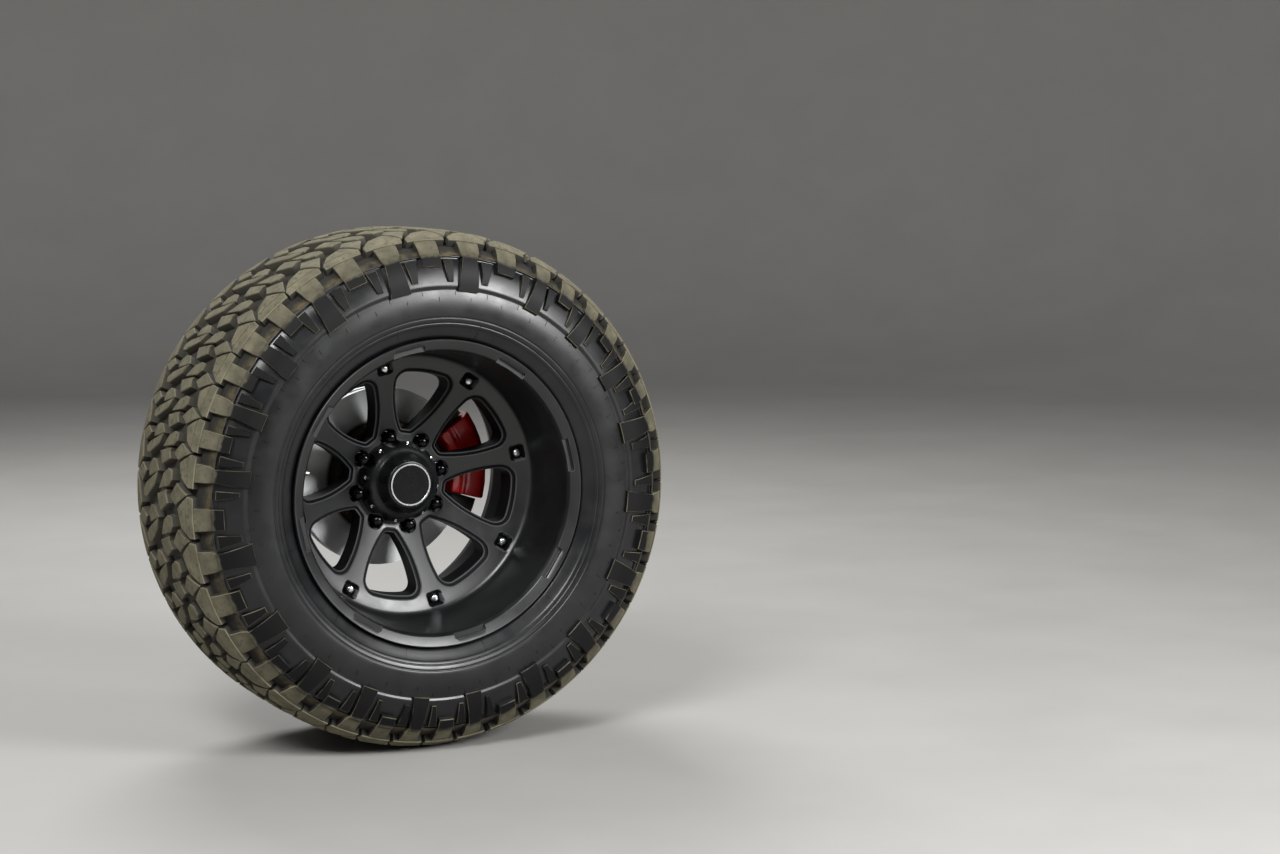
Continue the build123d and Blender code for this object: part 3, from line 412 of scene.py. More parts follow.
# Surfaces that depths are measured from, as radius and depth: the spokes' face, their back and
# the lip
FACE_DEPTH = np.array([(0, 225), (92, 225), (228, 161), (246, 155), (257, 150)])
BACK_DEPTH = np.array([(0, 268), (112, 268), (232, 214), (240, 232)])
LIP_DEPTH = np.array([(272, 10.5), (275, 10.5), (277.5, 9), (295.5, 0)])

# Satin black paint: near black, with a wide soft shine on the spokes and lip. The recesses are
# painted darker and duller, with little shine: painted shade that draws a black band round each
# window. Chamfers are rubbed smooth and painted a paler grey, a painted highlight as fine lines.
satin_black = finish("satin_black_paint", ("0D0E0F", "131415"), 60, (0.33, 0.42), 0.9, 0.02)
recess_shade = add_node(satin_black, "ShaderNodeAttribute", {}, "Fac", attribute_name="recess_shade")
chamfer_highlight = add_node(satin_black, "ShaderNodeAttribute", {}, "Fac", attribute_name="chamfer_highlight")
# painted shade: the recesses are painted darker than the paint round them
overlay(satin_black, [recess_shade], "08080A", 0.6)
# painted highlight: the chamfers are painted a paler grey so they show as fine bright lines
overlay(satin_black, [chamfer_highlight], "4C4D4F", 0.2)
# painted shade too: the recesses lose most of their shine
shine = add_node(satin_black, "ShaderNodeMapRange", {
    "Value": recess_shade, "To Min": 0.75, "To Max": 0.12})
satin_black.node_tree.links.new(
    shine, satin_black.node_tree.nodes["Principled BSDF"].inputs["Specular IOR Level"])


def circle_through(a, b, c):
    """Centre and radius of the circle through three points."""
    sides = np.array([b - a, c - a]) * 2
    centre = np.linalg.solve(sides, [b @ b - a @ a, c @ c - a @ a])
    return centre, np.linalg.norm(a - centre)


def arc(centre, radius, start, end, steps):
    """Points of an arc between two directions from its centre, without its last point."""
    first, last = (math.atan2(*(p - centre)[::-1]) for p in (start, end))
    turn = first + np.arange(steps) / steps * ((last - first + math.pi) % math.tau - math.pi)
    return centre + radius * np.stack([np.cos(turn), np.sin(turn)], -1)


# A window's side passes these radii at these distances from the spoke's middle line
WINDOW_SIDE = ((104, 31), (162, 21.5), (222, 29))
WINDOW_TOP = 222
INNER_ROUND = 7
OUTER_ROUND = 20


def window_outline():
    """Outline of the window that lies along +X, laid flat."""
    half_pitch = math.pi / SPOKES
    beside = []
    for radius, half_width in WINDOW_SIDE:
        angle = half_pitch - math.asin(half_width / radius)
        beside.append(radius * np.array([math.cos(angle), math.sin(angle)]))
    centre, radius = circle_through(*beside)
    inner_x = beside[0][0]
    # the inner corner's round touches the straight inner edge and the side arc
    inner = np.array([inner_x + INNER_ROUND, centre[1] + math.sqrt(
        (radius - INNER_ROUND) ** 2 - (inner_x + INNER_ROUND - centre[0]) ** 2)])
    # the outer corner's round touches the side arc and the outer arc
    apart = np.linalg.norm(centre)
    along = ((WINDOW_TOP - OUTER_ROUND) ** 2 - (radius - OUTER_ROUND) ** 2
             + apart ** 2) / (2 * apart)
    aside = math.sqrt((WINDOW_TOP - OUTER_ROUND) ** 2 - along ** 2)
    way = centre / apart
    choices = [along * way + side * aside * np.array([-way[1], way[0]]) for side in (-1, 1)]
    outer = max(choices, key=lambda point: point[1])
    on_side = [p + (p - centre) / np.linalg.norm(p - centre) * size
               for p, size in ((inner, INNER_ROUND), (outer, OUTER_ROUND))]
    on_rim = outer * WINDOW_TOP / np.linalg.norm(outer)
    half = np.concatenate([
        arc(np.zeros(2), WINDOW_TOP, np.array([WINDOW_TOP, 0.0]), on_rim, 6),
        arc(outer, OUTER_ROUND, on_rim, on_side[1], 10),
        arc(centre, radius, on_side[1], on_side[0], 16),
        arc(inner, INNER_ROUND, on_side[0], np.array([inner_x, inner[1]]), 8),
        [(inner_x, inner[1]), (inner_x, inner[1] / 2), (inner_x, 0)],
    ])
    return np.concatenate([half, half[-2:0:-1] * (1, -1)])


def box_outline(x_low, x_high, half_width, corner):
    """Rounded box along +X, laid flat."""
    return rounded([(x_low, -half_width, corner), (x_high, -half_width, corner),
                    (x_high, half_width, corner), (x_low, half_width, corner)], 5)


def cutter(outline, levels, turn):
    """Closed skin through levels of (growth, surface, depth): depth is measured from the
    surface, a table of (radius, depth), or from the wheel's edge where that is None."""
    rings = []
    for growth, surface, depth in levels:
        flat = outline + outward(outline) * growth
        base = 0 if surface is None else np.interp(np.hypot(*flat.T), *surface.T)
        rings.append(from_flat(*flat.T, base + depth, turn))
    return skin(rings)


# growth of the outline, surface, depth below it
WINDOW_LEVELS = [
    (4.0, None, 300), (4.0, BACK_DEPTH, 2.5), (0.0, BACK_DEPTH, -1.5), (0.0, FACE_DEPTH, 7.0),
    (2.0, FACE_DEPTH, 5.0), (6.4, FACE_DEPTH, 5.0), (7.0, FACE_DEPTH, 4.4),
    (7.2, FACE_DEPTH, 2.0), (11.2, FACE_DEPTH, -2.0), (11.2, None, 100),
]
POCKET_LEVELS = [(-1.0, None, 172), (0.0, None, 171), (0.0, None, 168), (4.0, FACE_DEPTH, 1.2),
                 (6.6, FACE_DEPTH, -1.4), (6.6, None, 120)]
SLOT_LEVELS = [(-0.6, None, 12.5), (0.0, None, 11.9), (0.0, LIP_DEPTH, 0.8),
               (1.4, LIP_DEPTH, -0.6), (1.4, None, -6)]
# radius at each end, half width, corner round
POCKET_BOX = (226, 247, 12.5, 4)
SLOT_BOX = (266, 285, 33, 4)
# own radius, depth
STUD_HOLE = [(8, 300), (8, 243), (15, 243), (16, 242), (16, 226.5), (18.5, 223.5),
             (18.5, 120)]
wheel_cutters = []
for angle in SPOKE_ANGLES:
    wheel_cutters += [
        cutter(window_outline(), WINDOW_LEVELS, angle + SPOKE_PITCH / 2),
        cutter(box_outline(*POCKET_BOX), POCKET_LEVELS, angle),
        cutter(box_outline(*SLOT_BOX), SLOT_LEVELS, angle),
        post(STUD_CIRCLE, STUD_HOLE, angle),
    ]
wheel = mesh_object("wheel", [lathe(rounded(WHEEL_OUTLINE), 288)], satin_black)
cut(wheel, wheel_cutters, satin_black)
seat(wheel, "wheel", "wheel_satin_black", "rim", "barrel", "wheel_centre")

# Middle of each face from the axle line and the wheel's edge in metres, its direction, its radius
# in mm and how far it points away from the axle line
face_middles = np.array([face.center for face in wheel.data.polygons]) - (AXLE[0], EDGE_Y, AXLE[2])
face_normals = np.array([face.normal for face in wheel.data.polygons])
face_radius = np.hypot(face_middles[:, 0], face_middles[:, 2]) * 1000
radial = np.sum((face_normals * face_middles)[:, [0, 2]], axis=1) / face_radius * 1000
# A face leans away from a surface where the cosine between their directions is below this
LEANS_BELOW = 0.9
# From and to which depth behind the spokes' face the middles of faces lie that belong to a
# window's outer chamfer, and to the chamfer on the edge of its ledge
OUTER_CHAMFER = (-1, 2.2)
LEDGE_CHAMFER = (5.5, 7.1)
# The chamfers of the lip's slots lie this near to its surface, between these radii
SLOT_CHAMFER = 1.2
SLOT_RADII = (267, 290)
# radius where the spokes end
SPOKES_END = 252


def against(surface):
    """How far each face of the wheel lies behind a surface, in mm, and whether it leans away."""
    near, far = (np.interp(face_radius + step, *surface.T) for step in (-0.5, 0.5))
    along = (radial * (far - near) - face_normals[:, 1]) / np.hypot(1, far - near)
    return face_middles[:, 1] * 1000 - (near + far) / 2, along < LEANS_BELOW


behind, leans = against(FACE_DEPTH)
spoked = face_radius < SPOKES_END
off_ledge_chamfer = (behind < LEDGE_CHAMFER[0]) | (behind > LEDGE_CHAMFER[1])
in_recess_shade = spoked & (behind > OUTER_CHAMFER[1]) & off_ledge_chamfer
near_face = (behind > OUTER_CHAMFER[0]) & (behind < LEDGE_CHAMFER[1])
on_chamfer_highlight = spoked & leans & near_face & ~in_recess_shade
behind, leans = against(LIP_DEPTH)
by_slots = (face_radius > SLOT_RADII[0]) & (face_radius < SLOT_RADII[1])
on_chamfer_highlight |= leans & (np.abs(behind) < SLOT_CHAMFER) & by_slots
# faces in the recesses carry painted shade, faces on the chamfers painted highlights
for name, faces in (("recess_shade", in_recess_shade), ("chamfer_highlight", on_chamfer_highlight)):
    wheel.data.attributes.new(name, "FLOAT", "FACE").data.foreach_set(
        "value", faces.astype(float))

# Tyre
# Black rubber moulded in one piece: a carcass with its beads on the wheel, blocks of several
# shapes across the tread, and lugs that run down over the shoulder. The blocks are spaced
# unevenly round the tyre, as on the real one, to spread its noise. Tread is dusty.
TYRE_RADIUS = 505
# depth of the middle plane of wheel and tyre
MIDDLE_DEPTH = 192
ARC_MM_PER_DEGREE = math.radians(TYRE_RADIUS)
# angle of the first long lug, and the turn from one to the next: long, medium or short
LUG_START = 102.33
PITCH_DEGREES = {"L": 20.2, "M": 18.0, "S": 15.8}
PITCH_ORDER = "LLSSSLLLMMSSSMLLSSML"

# Tops of blocks and lugs, from the tread's middle line over the shoulder: radius, depth, and
# how far down the rubber between them lies
TOPS = np.array([
    (TYRE_RADIUS, MIDDLE_DEPTH, 16.7), (504.5, 130, 16.7), (503, 80, 16.5), (500, 56, 15.5),
    (495, 40, 14), (485, 20, 12), (472, 6, 10.5), (458, -4, 9), (440, -12, 8.5), (420, -17.5, 8.5),
    (400, -18.9, 8), (386, -18.9, 7)])
chords = np.hypot(*np.diff(TOPS[:, :2], axis=0).T)
ALONG = np.concatenate([[0], np.cumsum(chords)])
# The line is sampled every millimetre across, and averaged over this many samples to round
# its corners
AVERAGED_OVER = 13
ACROSS = np.arange(-310, 311)
samples = np.arange(ACROSS[0] - AVERAGED_OVER // 2, ACROSS[-1] + AVERAGED_OVER // 2 + 1)


def along_tops(column):
    """A column of TOPS at each sample, carried on in a straight line past its end."""
    past_end = (column[-1] - column[-2]) / (ALONG[-1] - ALONG[-2])
    beyond = np.maximum(np.abs(samples) - ALONG[-1], 0)
    return np.interp(np.abs(samples), ALONG, column) + beyond * past_end


def averaged(values):
    """Running mean of the samples, at each millimetre of ACROSS."""
    return np.convolve(values, np.ones(AVERAGED_OVER) / AVERAGED_OVER, "valid")


top_radius = averaged(along_tops(TOPS[:, 0]))
from_middle = averaged(np.sign(samples) * (MIDDLE_DEPTH - along_tops(TOPS[:, 1])))
top_depth = MIDDLE_DEPTH - from_middle
slope = np.stack([np.gradient(top_radius), np.gradient(top_depth)], -1)
slope /= np.linalg.norm(slope, axis=1)[:, None]


def on_tread(across, height):
    """Radius and depth of a point this far across the tread and above the tops."""
    radius, depth, along_r, along_d = (
        np.interp(across, ACROSS, column)
        for column in (top_radius, top_depth, slope[:, 0], slope[:, 1]))
    return radius - along_d * height, depth + along_r * height


# Carcass with its air space: radius, depth, round, for the outboard half
CARCASS = [
    (488.3, MIDDLE_DEPTH, 0), (488, 130, 6), (487, 100, 6), (484.5, 70, 8), (480, 48, 6),
    (472, 29, 6), (462, 15, 4), (456.5, 4.5, 1), (454.5, 3.5, 0.6), (453.5, 8, 1.5),
    (450, 7.5, 1.5), (440, 0, 8), (420, -8, 8), (402, -13, 3), (398, -13.2, 1), (393, -11, 1.5),
    (386, -12.6, 3),
    (370, -15, 8), (350, -15, 8), (342, -13.6, 1), (340.6, -12.2, 0.5), (338.6, -12, 0.5),
    (337.4, -12.8, 0.5), (331, -10.4, 0.6), (330, -8.9, 0.4), (328.6, -8.7, 0.4),
    (327.6, -9.2, 0.6), (323, -6.6, 0.6), (321.8, -5.2, 0.5), (316, -1.8, 2), (308, 2.6, 4),
    (301.5, 6.5, 4), (297.6, 12.4, 1.5), (292, 14.6, 1), (279.8, 14.6, 2), (279.8, 46, 1),
    (302, 39, 10), (340, 3, 12), (395, -4, 20), (440, 15, 16), (468, 60, 20),
    (468, MIDDLE_DEPTH, 0),
]

# Outlines in one half pitch, about the outboard lug: degrees round, mm across from the middle
BLOCKS = [
    [(2.1, 137), (-1.8, 124), (-4.24, 151.3), (3.59, 151.3)],
    [(3.74, 152.7), (-4.37, 152.7), (-4.75, 157), (-4.4, 172), (4.5, 172), (4.5, 160)],
    [(-4.1, 87), (-2.4, 115), (-5.1, 157), (-7.25, 120)],
    [(-0.1, 30), (-1.8, 17), (-3.5, 10), (-5.1, 65), (-4.1, 62), (-2.25, 72)],
    [(-4.75, 20), (-8.5, 45), (-9.75, 70), (-9.5, 90), (-7.5, 92), (-6, 75)],
    [(-1.9, -77), (-3.5, -80), (-5.1, -62), (-8.2, 5), (-5.1, -10), (-1.8, -62)],
    [(-6.6, -45), (-9.1, -47), (-10.7, -30), (-10.7, -10), (-8.5, 12)],
    [(-6.9, -127), (-5.1, -93), (-7.6, -67), (-9.1, -97)],
    [(-14.1, -112), (-10.2, -99), (-7.25, -130), (-7.6, -172), (-16.5, -172), (-16.5, -140)],
]
# degrees from an outboard lug to its inboard fellow
INBOARD_LUG_SHIFT = -11.9
# Lugs and ribs: which half pitch, how far the top lies below TOPS, outline. The lower part of a
# lug stands 2.5 mm proud of its upper part, which leaves a ledge.
LUGS = [
    (0, 2.5, [(2.7, 168), (2.5, 200), (2.2, 213), (-1.8, 213), (-2.5, 200), (-2.7, 168)]),
    (0, 0.0, [(2.2, 211), (2.1, 214), (3.3, 278), (3.4, 281), (-2.8, 281), (-2.6, 275),
              (-1.7, 214), (-1.8, 211)]),
    (0, 3.0, [(7.3, 218), (6.3, 264), (4.8, 264), (4.6, 218)]),
    (0, 3.0, [(-2.9, 218), (-3.7, 264), (-5.3, 264), (-6.0, 218)]),
    (1, 2.5, [(2.9, 168), (2.8, 213), (-2.2, 213), (-2.3, 168)]),
    (1, 0.0, [(2.8, 211), (2.8, 234), (-2.1, 234), (-2.2, 211)]),
]


# How a block is shaped: how far its top edge is rounded in and down, how far its foot reaches
# under the rubber round it, and how far its walls lean out for each mm of height
EDGE_IN = 1.3
EDGE_DOWN = 1.0
FOOT = 3
DRAFT = 0.1
# widest facets round and across the tyre, so that a top bends with it
FACETS = (16, 12)


def block(outline, sink=0):
    """Points, faces and rise of one block, laid flat: mm round, mm across, height above the
    tops. Rise is 1 on top, 0.9 at the edges and 0 at the foot."""
    work = bmesh.new()
    flat = [work.verts.new((x * ARC_MM_PER_DEGREE, across, -sink)) for x, across in outline]
    top = work.faces.new(flat)
    top.normal_update()
    if top.normal.z < 0:
        top.normal_flip()
    bmesh.ops.inset_region(work, faces=[top], thickness=EDGE_IN, use_boundary=True,
                           use_even_offset=True)
    for vert in flat:
        vert.co.z -= EDGE_DOWN
    for side, spacing in enumerate(FACETS):
        lowest = min(v.co[side] for v in work.verts)
        highest = max(v.co[side] for v in work.verts)
        parts = int((highest - lowest) / spacing) + 1
        for step in range(1, parts):
            normal = [0.0, 0.0, 0.0]
            normal[side] = 1.0
            place = [0.0, 0.0, 0.0]
            place[side] = lowest + step * (highest - lowest) / parts
            bmesh.ops.bisect_plane(work, geom=work.verts[:] + work.edges[:] + work.faces[:],
                                   plane_co=place, plane_no=normal)
    edge_ways = {}
    for edge in [e for e in work.edges if e.is_boundary]:
        ends = [v.co.copy() for v in edge.verts]
        across_edge = (ends[1] - ends[0]).cross((0, 0, 1)).normalized()
        if across_edge.dot((ends[0] + ends[1]) / 2 - edge.link_faces[0].calc_center_median()) < 0:
            across_edge = -across_edge
        for vert in edge.verts:
            edge_ways.setdefault(vert, []).append(across_edge)
    pushes = {tuple(v.co): sum(ways, ways[0] * 0).normalized()
              for v, ways in edge_ways.items()}
    rim = bmesh.ops.extrude_edge_only(work, edges=[e for e in work.edges if e.is_boundary])
    for vert in [g for g in rim["geom"] if isinstance(g, bmesh.types.BMVert)]:
        push = pushes[tuple(vert.co)]
        drop = float(np.interp(abs(vert.co.y), ALONG, TOPS[:, 2])) + FOOT
        vert.co += push * DRAFT * drop
        vert.co.z = -drop
    bmesh.ops.holes_fill(work, edges=[e for e in work.edges if e.is_boundary])
    work.verts.index_update()
    points = np.array([v.co for v in work.verts])
    # sorted, because the faces don't come back in the same order each time
    faces = sorted([v.index for v in face.verts] for face in work.faces)
    work.free()
    height = points[:, 2] + sink
    return points, faces, np.where(height < -1.5 * EDGE_DOWN, 0, 1 + 0.1 * height)


def on_tyre(shape, centre, stretch, side=1):
    """A flat block laid round the tyre about a centre angle. Side -1 is the inboard shoulder."""
    (x, across, height), faces = shape[0].T, shape[1]
    radius, depth = on_tread(across * side, height)
    return around_axle(radius, centre + stretch * x / ARC_MM_PER_DEGREE, depth), faces


block_shapes = [block(outline) for outline in BLOCKS]
lug_shapes = [[block(outline, sink) for at, sink, outline in LUGS if at == half]
              for half in (0, 1)]
inboard_half = [(radius, 2 * MIDDLE_DEPTH - depth, corner)
                for radius, depth, corner in CARCASS[-2:0:-1]]
carcass_outline = rounded(CARCASS + inboard_half, 2)
# radius and depth down the outside, in rising order of radius for interpolation
SIDE = carcass_outline[:np.argmin(carcass_outline[:, 0])][::-1]

# Small bars on the side: first angle, how many, radius at each end, half width, height
SIDE_BARS = [(16, 12, 301, 330, 0.8, 0.7), (1, 36, 371, 379, 1.6, 1.2),
             (6, 36, 383, 391, 1.6, 1.2)]


def side_bar(turn, low, high, half_width, height):
    """Closed skin of a bar that stands on the outboard sidewall, laid along a radius."""
    radii = np.linspace(low, high, 8)[:, None]
    aside = np.array([-1, -0.6, 0.6, 1]) * half_width
    raised = np.array([-0.6, 1, 1, -0.6]) * height
    return skin(around_axle(radii, turn + np.degrees(aside / radii),
                            np.interp(radii, *SIDE.T) - raised))


def shoulders(shape, centre, stretch):
    """A lug or rib on both shoulders."""
    return [on_tyre(shape, centre, stretch),
            on_tyre(shape, centre + stretch * INBOARD_LUG_SHIFT, stretch, -1)]


tyre_skins = [lathe(carcass_outline, 240)]
for first, count, *bar in SIDE_BARS:
    tyre_skins += [side_bar(first + 360 * k / count, *bar) for k in range(count)]
rises = [np.zeros(sum(len(points) for points, faces in tyre_skins))]
angle = LUG_START
for length in PITCH_ORDER:
    pitch = PITCH_DEGREES[length]
    stretch = pitch / PITCH_DEGREES["L"]
    for half, lugs in enumerate(lug_shapes):
        centre = angle - half * pitch / 2
        tyre_skins += [on_tyre(shape, centre, stretch) for shape in block_shapes]
        rises += [shape[2] for shape in block_shapes]
        for lug in lugs:
            tyre_skins += shoulders(lug, centre, stretch)
            rises += [lug[2]] * 2
    angle -= pitch

# Rubber: blue black with a soft shine down the side, dull on the lugs. Dust covers the tread:
# tan grey on the blocks and yellow brown on the ledge below them. The grooves stay dark brown,
# partly dust and partly painted shade. The top edges of blocks and lugs are paler. It follows the
# distance from the axle line, in mm, and the rise.
rubber = finish("dusty_rubber_and_groove_shade", ("0D0E10", "141517"), 50, (0.28, 0.37), 2.5, 0.03)
rise = add_node(rubber, "ShaderNodeAttribute", {}, "Fac", attribute_name="rise")
wander = add_node(rubber, "ShaderNodeMapRange", {
    "Value": clouds(rubber, 34, 0.25, 0.75), "To Min": -4, "To Max": 4})
dust_line = add_node(rubber, "ShaderNodeMath", {0: radius_mm(rubber), 1: wander})
tread = add_node(rubber, "ShaderNodeMapRange", {
    "Value": dust_line, "From Min": 453, "From Max": 460})
ledge = add_node(rubber, "ShaderNodeMapRange", {
    "Value": dust_line, "From Min": 467, "From Max": 459})
crown = add_node(rubber, "ShaderNodeMapRange", {
    "Value": dust_line, "From Min": 478, "From Max": 498})
worn = add_node(rubber, "ShaderNodeMapRange", {
    "Value": dust_line, "From Min": 462, "From Max": 492, "To Min": 0.45})
top = add_node(rubber, "ShaderNodeMapRange", {"Value": rise, "From Min": 0.8, "From Max": 0.92})
foot = add_node(rubber, "ShaderNodeMapRange", {"Value": rise, "From Min": 0.95, "From Max": 0.8})
edge_in = add_node(rubber, "ShaderNodeMapRange", {
    "Value": rise, "From Min": 0.8, "From Max": 0.89})
edge_out = add_node(rubber, "ShaderNodeMapRange", {
    "Value": rise, "From Min": 0.99, "From Max": 0.91})
overlay(rubber, [top], "0C0C0D", 0.5)
# this dark brown stays in the grooves, where it is partly painted shade
overlay(rubber, [tread], "24221D", 0.9)
overlay(rubber, [crown], "46433A", 0.95)
overlay(rubber, [tread, top, worn], "646050", 0.95)
overlay(rubber, [tread, top, worn, clouds(rubber, 22, 0.4, 0.7)], "7B7662", 0.95)
overlay(rubber, [tread, top, clouds(rubber, 11, 0.52, 0.66)], "514E43", 0.85)
overlay(rubber, [tread, ledge, foot, clouds(rubber, 16, 0.35, 0.65)], "5C5239", 0.95)
overlay(rubber, [edge_in, edge_out, clouds(rubber, 60, 0.4, 0.6)], "7B745E", 0.8)
dull = add_node(rubber, "ShaderNodeMapRange", {"Value": top, "To Min": 0.5, "To Max": 0.18})
rubber.node_tree.links.new(
    dull, rubber.node_tree.nodes["Principled BSDF"].inputs["Specular IOR Level"])

tyre = mesh_object("tyre_moulded", tyre_skins, rubber)
tyre.data.attributes.new("rise", "FLOAT", "POINT").data.foreach_set(
    "value", np.concatenate(rises))
seat(tyre, "wheel", "tyre", "tyre", sharp=35)

# Valve, studs and nuts
# A metal valve stands in from the dish. Studs pressed through the hub hold the wheel with
# closed black chrome nuts, each in its own pocket.
dress(zinc_plate, "valve", "wheel_studs")

# Black chrome: dark mirror with a slight haze.
black_chrome = finish("black_chrome", ("202023", "2E2E32"), 20, (0.12, 0.22), 4, 0.01,
                      Metallic=1.0)
# own radius, depth
NUT = [(0.8, 203), (4, 203.2), (7.2, 204.3), (9.6, 206.4), (11, 209.3), (11.5, 212.5),
       (11.5, 236.8), (10.6, 238.2)]
NUT_FLANGE = [(12.4, 236.9), (13.2, 237.3), (13.5, 238.2), (13.5, 242.8)]
# from the middle to each of the six flats
NUT_FLATS = 9.96
nut_skins = []
for angle in SPOKE_ANGLES:
    nut_skins += [post(STUD_CIRCLE, NUT, angle, 48, NUT_FLATS),
                  post(STUD_CIRCLE, NUT_FLANGE, angle, 48)]
nuts = mesh_object("closed_nuts", nut_skins, black_chrome)
seat(nuts, "wheel", "nut_black", "wheel_nuts")

# Spoke bolts
# A domed bolt stands in the pocket at the end of each spoke, bright against the black. It is
# turned from steel, chrome plated and screwed down until its head rests on the pocket's floor.

# Chrome plate: bright, with a fine haze that spreads each highlight over the dome.
chrome = finish("chrome_plate", ("DADCDE", "E6E8EA"), 10, (0.2, 0.28), 3, 0.004, Metallic=1.0)
# own radius, depth
SPOKE_BOLT = [(0.6, 157.0), (3.2, 157.1), (5.2, 157.7), (6.7, 158.9), (7.6, 161.0), (8, 164.0),
              (8, 167), (8, 171.2), (7.6, 171.7), (3.7, 171.9), (3.7, 188)]
BOLT_CIRCLE = 236
bolts = mesh_object("domed_bolts",
                    [post(BOLT_CIRCLE, SPOKE_BOLT, angle) for angle in SPOKE_ANGLES], chrome)
seat(bolts, "wheel", "chrome", "spoke_bolts")

# Centre cap, its badge plate and screws
# A deep moulded cap with eight scallops round the nuts, held by small screws in its lobes. A
# plain round plate closes its top, inside a bright raised ring.
CAP_TURNS = np.arange(0, 360, 1.25)
# radius between the scallops, depth, round: down the outside, then up the cavity
CAP_OUTLINE = [(1, 160, 0), (46, 160, 2.5), (50, 171, 5), (59, 186, 5), (71, 192, 5),
               (80.5, 204, 6), (84, 224.9, 1), (68, 224.9, 1), (68, 208, 4), (53, 192, 5),
               (42, 164, 3), (1, 164, 0)]
# deeper than this is the cap's foot, where the outside ends
CAP_FOOT = 224
# radius of a scallop about its nut, how fast it lets go of the cap's outline beside it, and
# how far its edge is blended into the cap
SCALLOP_RADIUS = 17
LET_GO = 5
EDGE_BLEND = 1.5


def scalloped(radius):
    """Radius round the cap where it clears the eight nuts by a rounded edge."""
    half_pitch = SPOKE_PITCH / 2
    off = np.radians((CAP_TURNS - FIRST_SPOKE + half_pitch) % SPOKE_PITCH - half_pitch)
    aside = np.abs(STUD_CIRCLE * np.sin(off))
    nut_side = (STUD_CIRCLE * np.cos(off)
                - np.sqrt(np.maximum(SCALLOP_RADIUS ** 2 - aside ** 2, 0))
                + LET_GO * np.maximum(aside - SCALLOP_RADIUS, 0))
    return -EDGE_BLEND * np.logaddexp(-radius / EDGE_BLEND, -nut_side / EDGE_BLEND)


# Satin black plastic: moulded smooth, so it shines a little more than the wheel's paint.
cap_black = finish("satin_black_moulding", ("101112", "161718"), 30, (0.24, 0.34), 0.7, 0.02)
cap_outline = rounded(CAP_OUTLINE, 5)
outside_count = int(np.argmax(cap_outline[:, 1] > CAP_FOOT)) + 1
cap_rings = []
for k, (radius, depth) in enumerate(cap_outline):
    ring = scalloped(radius) if k < outside_count else np.full(len(CAP_TURNS), radius)
    cap_rings.append(around_axle(ring, CAP_TURNS, depth))
cap = mesh_object("scalloped_cap", [skin(cap_rings)], cap_black)
SCREW_CIRCLE = 77
# own radius, depth
SCREW_HOLE = [(4.1, 150), (4.1, 208)]
SCREW = [(1.4, 206.6), (1.9, 206.4), (2, 204.3), (2.3, 204), (3.2, 204.2), (3.8, 205.2),
         (3.8, 208)]
screw_angles = [angle + SPOKE_PITCH / 2 for angle in SPOKE_ANGLES]
cut(cap, [post(SCREW_CIRCLE, SCREW_HOLE, angle) for angle in screw_angles], cap_black)
seat(cap, "wheel", "cap_black", "centre_cap")

screws = mesh_object("cap_screws_round",
                     [post(SCREW_CIRCLE, SCREW, angle, 24) for angle in screw_angles], chrome)
seat(screws, "wheel", "chrome", "cap_screws")

# Badge plate: polished black under a bright raised ring.
badge_black = finish("polished_black_plate", ("0C0C0D", "121213"), 15, (0.15, 0.25), 2, 0.004,
                     Specular_IOR_Level=0.2)
# own radius, depth
BADGE = [(0.5, 157.5), (38.4, 157.5), (38.6, 157.7), (42, 157.8), (42, 160)]
BADGE_RING = [(38.3, 157.7), (38.4, 156.5), (38.9, 156), (41.4, 156), (41.9, 156.5), (42, 157.7)]
badge = mesh_object("plain_badge", [post(0, BADGE, 0, 96)], badge_black)
seat(badge, "wheel", "emblem", "cap_emblem")
badge_ring = mesh_object("badge_ring", [lathe(BADGE_RING, 96)], chrome)
seat(badge_ring, "wheel", "emblem")

# Floor, light and camera
# Not part of the object: a pale round studio whose floor curves up into its wall, soft light
# from the left front as in the photograph, and the camera where it stood.
FLOOR_Z = AXLE[2] - TYRE_RADIUS / 1000
STUDIO_SIDES = 96
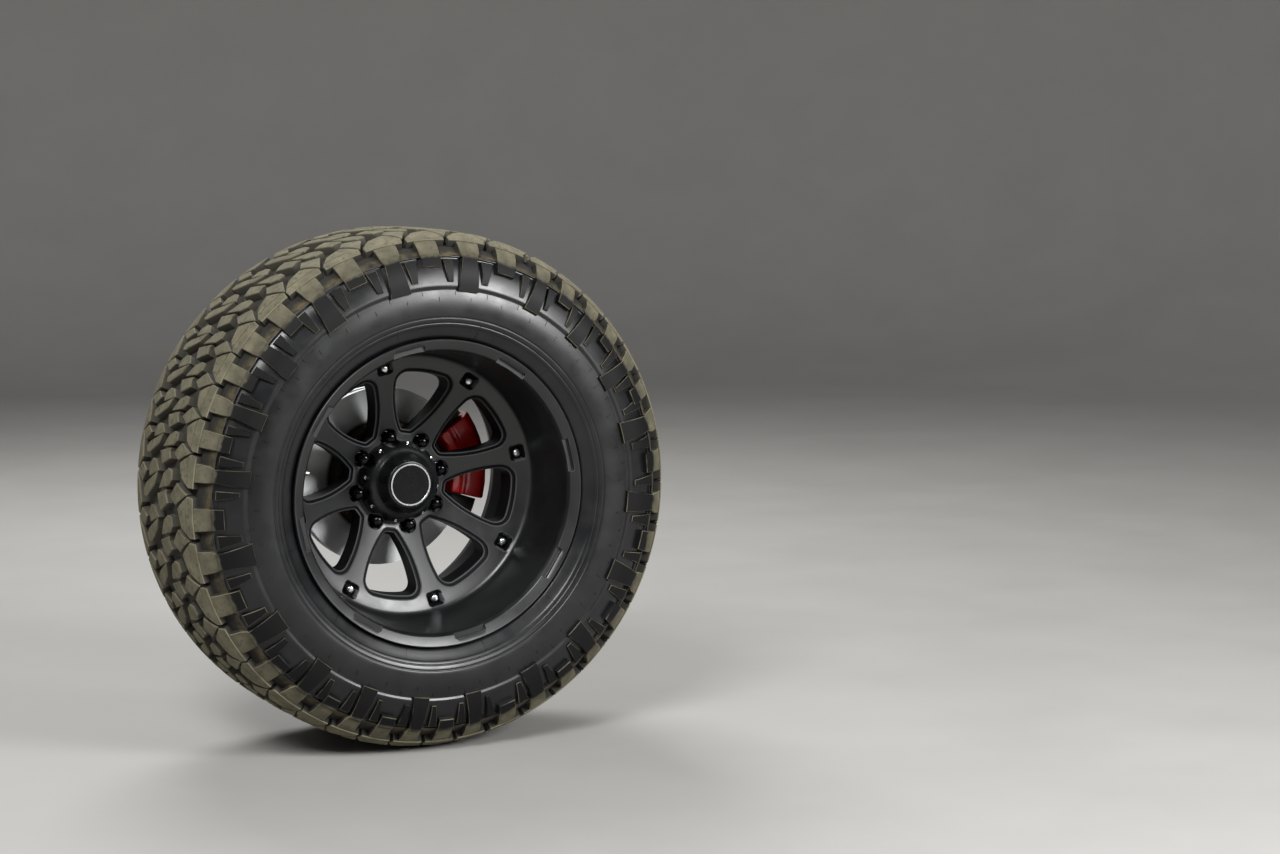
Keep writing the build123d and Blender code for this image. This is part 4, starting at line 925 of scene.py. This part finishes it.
# radius and height above the floor in metres
STUDIO = [(7, 0), (7.5, 0), (8.3, 0.1), (9.0, 0.4), (9.6, 1.0), (9.9, 1.7), (10, 2.5), (10, 6)]
turns = np.arange(STUDIO_SIDES) * math.tau / STUDIO_SIDES
studio_points = [(AXLE[0] + r * math.cos(t), AXLE[1] + r * math.sin(t), FLOOR_Z + height)
                 for r, height in STUDIO for t in turns]
studio_faces = [list(range(STUDIO_SIDES))]
for low in range(0, (len(STUDIO) - 1) * STUDIO_SIDES, STUDIO_SIDES):
    high = low + STUDIO_SIDES
    for k in range(STUDIO_SIDES):
        after = (k + 1) % STUDIO_SIDES
        studio_faces.append([low + k, high + k, high + after, low + after])
studio_mesh = bpy.data.meshes.new("studio")
studio_mesh.from_pydata(studio_points, [], studio_faces)
studio_mesh.shade_smooth()
studio = bpy.data.objects.new("studio", studio_mesh)
bpy.context.scene.collection.objects.link(studio)
studio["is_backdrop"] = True

# Painted floor: pale grey, barely uneven.
studio_mesh.materials.append(finish("pale_floor_paint", ("9C9B98", "A19F9C"), 400, (0.75, 0.85),
                                    40, 0.1))

world = bpy.data.worlds.new("studio")
world.use_nodes = True
world.node_tree.nodes["Background"].inputs["Color"].default_value = linear("DADBDC")
world.node_tree.nodes["Background"].inputs["Strength"].default_value = 0.35
bpy.context.scene.world = world


centre_point = np.array([AXLE[0], EDGE_Y + MIDDLE_DEPTH / 1000, AXLE[2]])


def area_light(name, place, size, power):
    """Square soft light that points at the wheel's centre, from a place in metres from it."""
    light = bpy.data.lights.new(name, "AREA")
    light.size = size
    light.energy = power
    lamp = bpy.data.objects.new(name, light)
    lamp.location = centre_point + place
    lamp.rotation_mode = "QUATERNION"
    lamp.rotation_quaternion = (-Vector(place)).to_track_quat("-Z", "Y")
    bpy.context.scene.collection.objects.link(lamp)


area_light("key", (-3.0, -3.2, 4.0), 2.0, 300)
area_light("side", (2.1, -3.7, 1.7), 1.4, 200)
area_light("back", (0.5, 3.2, 3.4), 2.2, 170)

# From the axle line's point to the camera in metres, and the way it looks
CAMERA_PLACE = (-1.916, -4.928, 0.671)
CAMERA_WAY = (0.4541, 0.884, -0.1091)
camera_data = bpy.data.cameras.new("camera")
camera_data.lens = 73.125
camera_data.sensor_width = 36
camera = bpy.data.objects.new("camera", camera_data)
camera.location = AXLE + CAMERA_PLACE
camera.rotation_mode = "QUATERNION"
camera.rotation_quaternion = Vector(CAMERA_WAY).to_track_quat("-Z", "Y")
bpy.context.scene.collection.objects.link(camera)
bpy.context.scene.camera = camera
bpy.context.scene.view_settings.view_transform = "Standard"

# Size of the finished pieces
# The box round the finished pieces, in metres, lowest corner first. It should agree with the bare
# CAD part's box to within the small reliefs that only the pieces have.
low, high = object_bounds()
